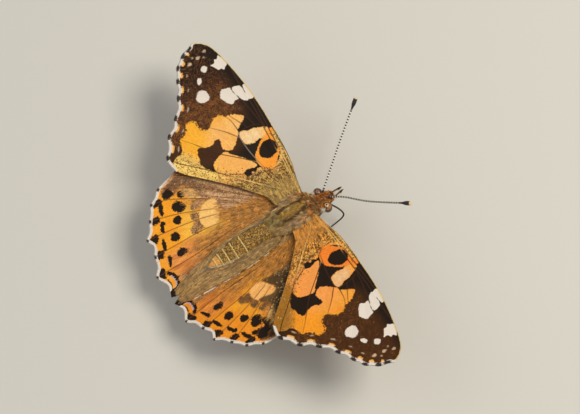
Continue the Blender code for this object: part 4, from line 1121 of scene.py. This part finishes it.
# Each eye's tone, the height of its dark rim of painted shade, and the shares of the pale ring and of the
# dark spots; the two eyes differ by painted light, the left painted darker
EYE_LOOKS = {"left": (tone(138, 76, 38), 0.86, 0.2, 0.4), "right": (tone(176, 118, 60), 0.46, 0.7, 1.0)}
eye_look = Finish("eye_facets", 0.25)
facet = eye_look.cells(14000.0, output="Distance")
facet_edge = eye_look.between(facet, 0.4, 0.65, 0.0, 0.45)
eye_look.colour(eye_look.mix(facet_edge, eye_look.mark("eye_tone", "Color"), tone(40, 26, 18)))
eye_look.bump(facet, 0.00002, 0.5)
eye_look.shader.inputs["Coat Weight"].default_value = 0.2
for side_name, side in (("left", 1), ("right", -1)):
    swing = np.linspace(0.03, pi - 0.03, 64)[:, None]
    turn = np.linspace(0, 2 * pi, 88, endpoint=False)[None]
    ball = np.stack([np.cos(swing) + 0 * turn, np.sin(swing) * np.cos(turn), np.sin(swing) * np.sin(turn)], axis=-1)
    ways = (ball * [1, side, 1]).reshape(-1, 3)
    ground, rim, ring_share, spot_share = EYE_LOOKS[side_name]
    away = [np.linalg.norm(ways - np.array(spot[:3]) / np.linalg.norm(spot[:3]), axis=1) for spot in EYE_SPOTS]
    halo = ease(2.0 * EYE_SPOTS[0][3], 1.2 * EYE_SPOTS[0][3], away[0])
    pupil = np.max([ease(spot[3], 0.65 * spot[3], gap) for spot, gap in zip(EYE_SPOTS, away)], axis=0)
    # Painted light: a pale ring of painted reflection round the top spot, darker at the front, and painted shade on the
    # inner side and below the rim's height
    layers = [(ring_share * halo, tone(240, 210, 166)), (ease(0.7, 0.86, ways[:, 0]), tone(96, 56, 26)),
              (ease(-0.22, -0.36, ways[:, 1]), tone(24, 15, 10)), (ease(rim + 0.1, rim - 0.06, ways[:, 2]), tone(40, 24, 14)),
              (spot_share * pupil, tone(16, 10, 8))]
    net = np.array(EYE_CENTRE) * [1, side, 1] + [0, HEAD_SHIFT, 0] + ball * EYE_RADII
    eye_marks = {"eye_tone": colours(ground, *layers)}
    eye = tube_piece(f"eye_facets_{side_name}", net, [eye_look.material], eye_marks)
    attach(eye, "root")
    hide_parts(f"eye_{side_name}")

# The feelers
# Each feeler is a hair-thin jointed shaft, ringed black and white, which ends in a flat black club with
# a cream tip. It stands in a socket beside the eye.
FEELER_PATHS = {
    "left": [(3.55, 0.45, -1.2), (3.75, 0.8, -0.75), (7.8, 3.85, 0.4), (11.45, 6.5, 1.6), (16.85, 10.18, 3.5)],
    "right": [(3.75, -0.8, -1.1), (4.05, -0.98, -0.5), (6.0, -2.85, 1.0), (8.97, -6.45, 2.8), (14.27, -11.78, 6.4)],
}
# Where in each joint the white ring begins
RING_STARTS = {"left": 0.42, "right": 0.62}
FEELER_RADIUS = 0.15
CLUB_RADIUS = 0.36
CLUB_SHARE = 0.12
JOINTS = 34


def ringed_tube(path, radius, rows, sides, flatten=1.0):
    """Rings of the given radii square to a smooth path; the first cross direction is the path's cross
    product with the vertical, and the second is flattened by the given share."""
    line = even_curve(path, rows)
    ahead = np.gradient(line, axis=0)
    ahead /= np.linalg.norm(ahead, axis=1)[:, None]
    rough = np.array([0.12, 0.07, 1.0])
    across = np.cross(ahead, rough)
    across /= np.linalg.norm(across, axis=1)[:, None]
    above = np.cross(across, ahead)
    turn = np.linspace(0, 2 * pi, sides, endpoint=False)[None, :, None]
    size = np.broadcast_to(radius, (rows,))[:, None, None]
    return line[:, None] + size * (np.cos(turn) * across[:, None] + flatten * np.sin(turn) * above[:, None])


feeler_look = Finish("feeler_rings", 0.45)
feeler_look.colour(feeler_look.mark("ring_tone", "Color"))
for side_name, path in FEELER_PATHS.items():
    rows, sides = 420, 14
    s = np.linspace(0, 1, rows)
    club = ease(1 - CLUB_SHARE, 1 - 0.45 * CLUB_SHARE, s) * np.sqrt(np.clip((1.0 - s) / 0.012, 0, 1))
    joint = (s * JOINTS) % 1
    thick = FEELER_RADIUS * (1 + 0.08 * np.sin(pi * joint)) * np.minimum(1, np.sqrt(np.clip((1.001 - s) / 0.008, 0, 1)))
    thick = thick + (CLUB_RADIUS - FEELER_RADIUS) * club
    net = ringed_tube(path, thick, rows, sides)
    start = RING_STARTS[side_name]
    white = ease(start, start + 0.08, joint) * ease(1.0, 0.95, joint)
    white = white * ease(1 - CLUB_SHARE, 0.98 - CLUB_SHARE, s) * ease(0.04, 0.08, s)
    tip = ease(0.982, 0.99, s)
    ring_tone = colours(tone(26, 22, 20), (white, tone(224, 220, 210)), (tip, tone(222, 190, 142)))
    feeler = tube_piece(f"feeler_{side_name}", net, [feeler_look.material], {"ring_tone": np.repeat(ring_tone, sides, axis=0)})
    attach(feeler, "root")
    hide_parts(f"antenna_{side_name}")

# The tongue
# The long sucking tongue is two half tubes locked together, black and horny. It hangs down in a bend from
# under the head.
TONGUE_PATH = [
    (3.35, -0.35, -2.8), (3.4, -0.6, -3.5), (3.75, -1.25, -3.9), (4.35, -2.3, -4.25), (4.65, -3.3, -4.9), (4.2, -3.6, -5.5),
    (3.16, -3.54, -6.4), (1.75, -3.33, -7.55),
]
tongue_look = Finish("tongue_horn", 0.35)
tongue_look.colour(tongue_look.mix(tongue_look.noise(4000.0), tone(14, 12, 11), tone(44, 36, 30)))
s = np.linspace(0, 1, 160)
tongue_net = ringed_tube(TONGUE_PATH, (0.17 - 0.06 * s) * np.minimum(1, np.sqrt(np.clip((1.001 - s) / 0.01, 0, 1))), 160, 14, 0.8)
tongue = tube_piece("tongue", tongue_net, [tongue_look.material])
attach(tongue, "root")
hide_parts("proboscis")

# The legs
# Two pairs of walking legs have a thick scaled thigh, a thin shin and a jointed foot on the floor. The
# small brush-like forelegs are held folded under the breast.
FLOOR_UNDER_HINGES = -8.2
LEG_PATHS = {
    "foreleg": [(0.5, 0.7, -2.6), (0.8, 0.85, -3.3), (1.25, 1.05, -3.8), (1.55, 1.15, -4.5), (1.0, 1.2, -5.2), (0.0, 1.15, -5.55)],
    "midleg": [(-0.9, 1.0, -2.7), (-0.7, 1.5, -3.7), (-0.2, 3.2, -4.1), (0.5, 6.1, -3.75), (0.25, 8.3, -6.6), (0.05, 11.0, -8.0), (0.0, 12.6, -8.08)],
    "hindleg": [(-3.9, 1.0, -2.6), (-4.2, 1.6, -3.6), (-5.0, 3.2, -4.0), (-6.3, 5.6, -3.55), (-8.9, 7.9, -6.8), (-11.0, 9.5, -8.0), (-12.3, 10.5, -8.08)],
}
LEG_SIZES = {
    "foreleg": [(0, 0.34), (0.3, 0.3), (0.6, 0.22), (0.9, 0.14), (1, 0.04)],
    "midleg": [(0, 0.4), (0.2, 0.36), (0.42, 0.26), (0.5, 0.2), (0.75, 0.15), (0.97, 0.12), (1, 0.05)],
    "hindleg": [(0, 0.4), (0.2, 0.36), (0.42, 0.26), (0.5, 0.2), (0.75, 0.15), (0.97, 0.12), (1, 0.05)],
}
leg_look = Finish("leg_scales", 0.6)
leg_grain = leg_look.noise(7000.0, 2.0)
leg_look.colour(leg_look.mix(leg_look.between(leg_grain, 0.4, 0.62), tone(198, 172, 130), tone(126, 92, 58)))
leg_look.bump(leg_grain, 0.00003, 0.5)
leg_nets = {}
for leg, path in LEG_PATHS.items():
    for side_name, side in (("left", 1), ("right", -1)):
        s = np.linspace(0, 1, 200)
        thick = np.interp(s, *np.array(LEG_SIZES[leg]).T)
        net = ringed_tube(np.array(path) * [1, side, 1], thick, 200, 14)
        net[..., 2] = np.maximum(net[..., 2], FLOOR_UNDER_HINGES + 0.01)
        leg_nets[leg, side_name] = net
        limb = tube_piece(f"{leg}_scaled_{side_name}", net, [leg_look.material])
        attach(limb, "root")
        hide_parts(f"{leg}_{side_name}")

# The palps
# A pair of upturned feelers of the mouth, covered in rusty hair with a black ridge and white sides.
PALP_PATH = [(3.6, 0.42, -2.3), (4.25, 0.46, -2.6), (4.75, 0.46, -2.7), (5.5, 0.4, -2.45), (6.45, 0.28, -2.12)]
palp_look = Finish("palp_scales", 0.7)
palp_grain = palp_look.noise(9000.0)
palp_look.colour(palp_look.mix(palp_grain, tone(176, 110, 54), tone(60, 38, 24)))
palp_nets = {}
for side_name, side in (("left", 1), ("right", -1)):
    s = np.linspace(0, 1, 60)
    thick = np.interp(s, [0, 0.35, 0.7, 0.98, 1], [0.28, 0.32, 0.24, 0.08, 0.02])
    net = ringed_tube(np.array(PALP_PATH) * [1, side, 1] + [0, HEAD_SHIFT, 0], thick, 60, 20)
    palp_nets[side_name] = net
    palp = tube_piece(f"palp_skin_{side_name}", net, [palp_look.material])
    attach(palp, "root")
    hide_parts(f"palp_{side_name}")

# The body's hair
# Silky hair-scales lie back over the whole body: long and olive gold on the thorax, rusty on the head and
# collar, short and dark with pale bands on the abdomen. Each tuft is a thin solid blade.
draw = np.random.default_rng(11)
PALE_HAIR = tone(226, 198, 138)
BLADE_PATCH = 0.0015 * np.array([(-1, -1), (1, -1), (0, -0.4), (-1, 0.5), (1, 0.5), (0, 0.1), (0, 1)])
BLADE_FACES = np.array([
    (0, 2, 1), (0, 1, 4), (0, 4, 3), (1, 2, 5), (1, 5, 4), (2, 0, 3), (2, 3, 5), (3, 4, 6), (4, 5, 6), (5, 3, 6),
])


def scatter(net, normal, weight, count, fields, closed=True):
    """Roots drawn over a net in proportion to area times weight: each cell is drawn with that chance, and
    the place, normal, lie and fields are blended between its four corners by two even draws."""
    rows, columns = net.shape[:2]
    s, t = np.meshgrid(np.linspace(0, 1, rows), np.arange(columns) / (columns if closed else columns - 1), indexing="ij")
    lie = np.gradient(net, axis=0)
    stack = np.concatenate([net, normal, lie, s[..., None], t[..., None], weight.reshape(rows, columns, 1),
                            *(field.reshape(rows, columns, -1) for field in fields)], axis=-1)
    if closed:
        wrap = stack[:, :1].copy()
        wrap[..., 10] = 1.0
        stack = np.concatenate([stack, wrap], axis=1)
    corners = [stack[:-1, :-1], stack[1:, :-1], stack[:-1, 1:], stack[1:, 1:]]
    area = np.linalg.norm(np.cross((corners[1] - corners[0])[..., :3], (corners[2] - corners[0])[..., :3]), axis=-1)
    chance = (area * np.mean([corner[..., 11] for corner in corners], axis=0)).ravel()
    cell = draw.choice(chance.size, count, p=chance / chance.sum())
    a, b = draw.random((2, count, 1))
    values = [corner.reshape(-1, stack.shape[-1])[cell] for corner in corners]
    mixed = (1 - b) * ((1 - a) * values[0] + a * values[1]) + b * ((1 - a) * values[2] + a * values[3])
    normal = mixed[:, 3:6] / np.linalg.norm(mixed[:, 3:6], axis=1)[:, None]
    return mixed[:, :3], normal, mixed[:, 6:9], mixed[:, 9:11], mixed[:, 12:]


def unit(vectors):
    """Each vector divided by its length."""
    return vectors / np.maximum(np.linalg.norm(vectors, axis=-1, keepdims=True), 1e-9)


def uneven(spread, count):
    """Random factors about 1: e to the power of the spread times normal draws."""
    return np.exp(spread * draw.normal(size=count))[:, None]


def grow(name, root, normal, lie, chart, length, width, lift, tones, shine, slot, lock=0, pull=0.45, variety=0.15,
         depth=0.6, pale=0.0):
    """Blades of three-sided section, full at the root and middle and drawn to a point. A blade runs from its
    root by its length along cos(lift) lie + sin(lift) normal and falls back a little at the tip. Blades
    gather into locks: each tip moves by a share, the pull, towards the tip of its nearest lock's middle
    blade, and a lock's blades share one shade; a share of the locks is pale. Light is painted into the
    tones: they are multiplied by depth at the root, a painted shade, and by shine at the tip, a painted
    highlight, and divided by their greatest part where that passes 1."""
    count = len(root)
    lie = unit(lie - (lie * normal).sum(1, keepdims=True) * normal)
    side = np.cross(normal, lie)
    length, width, lift = (np.broadcast_to(x, count)[:, None] for x in (length, width, lift))
    ahead = np.cos(lift) * lie + np.sin(lift) * normal
    foot = root - 0.04 * normal
    knee = root + 0.5 * length * ahead
    tip = root + length * ahead - 0.1 * length * normal
    tones = tones * uneven(variety, count)
    if lock:
        middles = draw.choice(count, count // lock, replace=False)
        away = -2 * root @ root[middles].T + (root[middles] ** 2).sum(1)[None]
        nearest = away.argmin(axis=1)
        shift = pull * (tip[middles][nearest] - tip)
        tip = tip + shift
        knee = knee + 0.35 * shift
        is_pale = (draw.random(len(middles)) < pale)[nearest]
        tones = np.where(is_pale[:, None], PALE_HAIR, tones) * uneven(1.6 * variety, len(middles))[nearest]
    above = unit(np.cross(ahead, side))
    points = np.stack([
        foot + side * width / 2, foot - side * width / 2, foot + above * width / 2,
        knee + side * width * 0.4, knee - side * width * 0.4, knee + above * width * 0.4, tip,
    ], axis=1)
    faces = (BLADE_FACES[None] + 7 * np.arange(count)[:, None, None]).reshape(-1, 3)
    flat = (chart[:, None] + BLADE_PATCH[None]).reshape(-1, 2)[faces]
    # Painted light on each blade: shade at the root, a highlight at the tip
    bright = np.array([depth] * 3 + [(1 + depth) / 2 + 0.1] * 3 + [shine])[None, :, None]
    hair_tone = tones[:, None] * bright
    hair_tone /= np.maximum(hair_tone.max(axis=-1, keepdims=True), 1)
    hair_tone = np.concatenate([hair_tone, np.ones((count, 7, 1))], axis=-1).reshape(-1, 4)
    coat = make_piece(name, place(points.reshape(-1, 3)), faces, [hair_look.material], None, {"hair_tone": hair_tone}, flat)
    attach(coat, "root")


hair_look = Finish("hair", 0.45)
hair_look.colour(hair_look.mark("hair_tone", "Color"))
hair_look.shader.inputs["Specular IOR Level"].default_value = 0.35
hair_look.shader.inputs["Sheen Weight"].default_value = 0.1


def body_coat(name, count, weight, length, width, lift, slot, shine=1.25, tone_of=None, **locks):
    """One coat of the body. Its length grows towards the rear of the thorax, over the abdomen's front."""
    fields = [body_marks["coat"][:, :3]]
    root, normal, lie, chart, tones = scatter(body_net, body_normal, weight, count, fields)
    if tone_of is not None:
        tones = np.broadcast_to(tone_of, tones.shape)
    lie = unit(lie) + 0.16 * draw.normal(size=lie.shape)
    chart = np.stack([chart[:, 1] * 0.96 + 0.02, chart[:, 0] * 0.96 + 0.02], axis=1)
    longer = 1 + 0.5 * ease(-4.0, -6.5, root[:, 0]) * ease(-7.3, -6.5, root[:, 0])
    reach = length * longer * (0.7 + 0.6 * draw.random(count))
    grow(name, root, normal, lie, chart, reach, width, lift * (0.6 + 0.8 * draw.random(count)), tones, shine, slot, **locks)


x, y, z = (body_net[..., k] for k in range(3))
across = np.abs(y - middle_line(x))
by_eye = np.linalg.norm((np.stack([x, across, z], axis=-1) - EYE_CENTRE) / np.array(EYE_RADII), axis=-1)
on_thorax = ease(0.5, 0.0, x) * ease(-7.3, -6.1, x)
on_collar = ease(-0.3, 0.3, x) * ease(2.1, 1.7, x)
on_head = ease(1.7, 2.1, x) * ease(1.0, 1.12, by_eye)
on_abdomen = ease(-6.1, -7.1, x)
behind_eye = ease(1.85, 1.95, x) * ease(2.35, 2.2, x) * ease(-2.4, -2.1, z) * ease(-1.0, -1.3, z)
upward = ease(-0.6, 0.2, body_normal[..., 2])
band_weight = np.max([ease(0.08, 0.03, np.abs(x - edge)) for edge in PALE_BANDS], axis=0)
before_band = np.max([ease(-0.12, -0.05, x - edge) * ease(0.28, 0.2, x - edge) for edge in PALE_BANDS], axis=0)
body_coat("thorax_coat_long", 9000, on_thorax * upward, 1.3, 0.055, 0.2, "olive_hair", lock=16, pull=0.5, variety=0.2,
          pale=0.05)
body_coat("thorax_coat_short", 9000, on_thorax, 0.7, 0.05, 0.26, "olive_hair", lock=10, variety=0.2)
body_coat("collar_coat", 7000, on_collar, 0.62, 0.045, 0.55, "rusty_hair", lock=10, variety=0.3, pale=0.15)
body_coat("head_coat", 8000, on_head, 0.38, 0.038, 0.6, "rusty_hair", lock=9, variety=0.34, pale=0.14)
body_coat("cheek_coat", 1100, behind_eye, 0.8, 0.055, 1.3, "rusty_hair", tone_of=tone(255, 250, 240), lock=8, variety=0.1,
          depth=0.85)
on_tail = ease(-17.35, -17.6, x)
body_coat("abdomen_coat", 15000, on_abdomen * (1 - on_tail) * (1 - 0.95 * before_band), 0.22, 0.075, 0.14, "abdomen_scales",
          lock=2, pull=0.0, variety=0.8)
body_coat("tail_coat", 1000, on_tail, 0.26, 0.08, 0.14, "abdomen_scales", lock=4, variety=0.14, depth=0.85)
side_weight = on_thorax * ease(1.2, 1.7, across) * ease(0.1, 0.5, body_normal[..., 2]) * ease(-6.0, -4.0, x)
body_coat("side_tufts", 420, side_weight, 1.5, 0.04, 0.35, "olive_hair", tone_of=tone(236, 206, 158), lock=14, pull=0.6,
          variety=0.3)
body_coat("abdomen_bands", 1900, band_weight * ease(-0.5, 0.0, body_normal[..., 2]), 0.16, 0.08, 0.45, "abdomen_scales",
          tone_of=tone(255, 226, 140), depth=0.9)

# The palps' hair
# Stiff rusty hair-scales stand forward all round each palp, black along the top and white on the sides.
for side_name, net in palp_nets.items():
    normal = outward(net)
    up = normal[..., 2]
    along = np.broadcast_to(np.linspace(0, 1, len(net))[:, None], up.shape)
    sides_white = ease(0.94, 0.86, up) * ease(-0.6, -0.3, up) * ease(0.2, 0.3, along) * ease(0.8, 0.7, along)
    ridge = np.maximum(ease(0.88, 0.95, up), ease(0.7, 0.8, along) * ease(-0.2, 0.2, up))
    tones = colours(tone(200, 116, 56), (sides_white.ravel(), tone(244, 236, 220)),
                    ((ridge * ease(0.15, 0.3, along)).ravel(), tone(30, 22, 16)))[:, :3]
    root, normal, lie, chart, tones = scatter(net, normal, 0 * up + 1, 1600, [tones])
    chart = np.stack([chart[:, 1] * 0.96 + 0.02, chart[:, 0] * 0.96 + 0.02], axis=1)
    grow(f"palp_hair_{side_name}", root, normal, lie, chart, 0.3 + 0.2 * draw.random(1600), 0.04, 0.3, tones, 1.1, "rusty_hair")

# The wings' hair
# Long silky hair lies over the bases of the wings and the inner half of the hindwings, and shades into
# scales further out. It is gilt in front, brown on the hindwing and grey-brown on its flap.


def wing_coat(name, middle, ground, weight, count, length, width, lift, **locks):
    """Hair over a wing's upper face, which lies along the rows of its net."""
    normal = net_normals(middle)
    root, normal, lie, chart, tones = scatter(middle + normal * 0.05, normal, weight, count, [ground], closed=False)
    lie = unit(lie) + 0.07 * draw.normal(size=lie.shape)
    chart = np.stack([0.01 + 0.48 * chart[:, 1], 0.01 + 0.98 * chart[:, 0]], axis=1)
    grow(name, root, normal, lie, chart, length * (0.6 + 0.8 * draw.random(count)), width, lift, tones, 1.1,
         "wing_scales", depth=0.85, **locks)


fore_u, fore_v = fore_net[..., 0], fore_net[..., 1]
hind_u, hind_v = hind_all[..., 0], hind_all[..., 1]
fore_hairy = ease(3.4, 0.8, fore_v + 0.15 * fore_u)
hind_hairy = (hairy * (1 - 0.7 * dusk) + 0.6 * grey * ease(0.9, 0.6, on_flap)).reshape(hind_u.shape)
hind_hairy = hind_hairy * ease(-23.8, -22.4, hind_u)
hind_hairy = hind_hairy * (ease(0.25, 0.45, beside_crease) * ease(0.1, -0.1, right_dark_depth)).reshape(hind_u.shape)
for side_name, side in (("left", 1), ("right", -1)):
    wing_coat(f"forewing_hair_{side_name}", fore_middle[side_name], fore_grounds[side_name][:, :3], fore_hairy, 1800,
              1.1, 0.035, 0.1, lock=9, pull=0.3, variety=0.22)
    # No hair under the right wing's painted shadow
    bare = 1 - PAINTED_SHADOW_SHARES[side_name] * right_painted_shadow.reshape(hind_u.shape)
    wing_coat(f"hindwing_hair_{side_name}", hind_middle[side_name], hind_grounds[side_name][:, :3], hind_hairy * bare, 13000,
              1.2, 0.03, 0.05, lock=10, pull=0.3, variety=0.2)

# The fringes
# The outer margins are fringed with two rows of long narrow scales, white between the veins and dark at
# each vein's end.


def fringe(name, inner, outer, margin, teeth, hinge, angles, side, dark_reach):
    """Blades rooted along the inner rim, which reach the outer one."""
    count = 2800
    at = 3 + draw.random(count) * (len(inner) - 7)
    step = np.arange(len(inner))
    base = np.stack([np.interp(at, step, inner[:, k]) for k in range(2)], axis=1)
    reach = np.stack([np.interp(at, step, outer[:, k]) for k in range(2)], axis=1)
    near = tooth_distance(reach, margin, teeth)
    white = ease(dark_reach - 0.1, dark_reach + 0.1, near + 0.08 * draw.normal(size=count))[:, None]
    lift = 0.03 * draw.normal(size=count)
    start = set_wing(base, lift * 0.5, hinge, angles, side)
    end = set_wing(reach + (reach - base) * (0.3 * draw.random((count, 1)) - 0.15), lift, hinge, angles, side)
    plane = set_wing(np.array([[[0.0, 0.0], [1.0, 0.0]], [[0.0, 1.0], [1.0, 1.0]]]), 0.0, hinge, angles, side)
    up = np.broadcast_to(net_normals(plane)[0, 0], start.shape)
    lie = end - start
    tones = white * WHITE + (1 - white) * tone(44, 32, 26)
    chart = np.stack([at / len(inner) * 0.9 + 0.05, 0.5 + 0.4 * draw.random(count)], axis=1)
    grow(name, start - unit(lie) * 0.1, up, lie, chart, np.linalg.norm(lie, axis=1) + 0.1, 0.13, 0.02, tones / 0.85, 1.1,
         "wing_scales", variety=0.08)


for side_name, side in (("left", 1), ("right", -1)):
    fringe(f"forewing_fringe_{side_name}", inner_rim, outer_rim, FORE_MARGIN, FORE_TEETH, FORE_HINGE,
           FORE_SET[side_name], side, 0.6)
    fringe(f"hindwing_fringe_{side_name}", hind_inner, hind_outer, HIND_MARGIN, HIND_TEETH, HIND_HINGE,
           HIND_SET[side_name], side, 0.32)
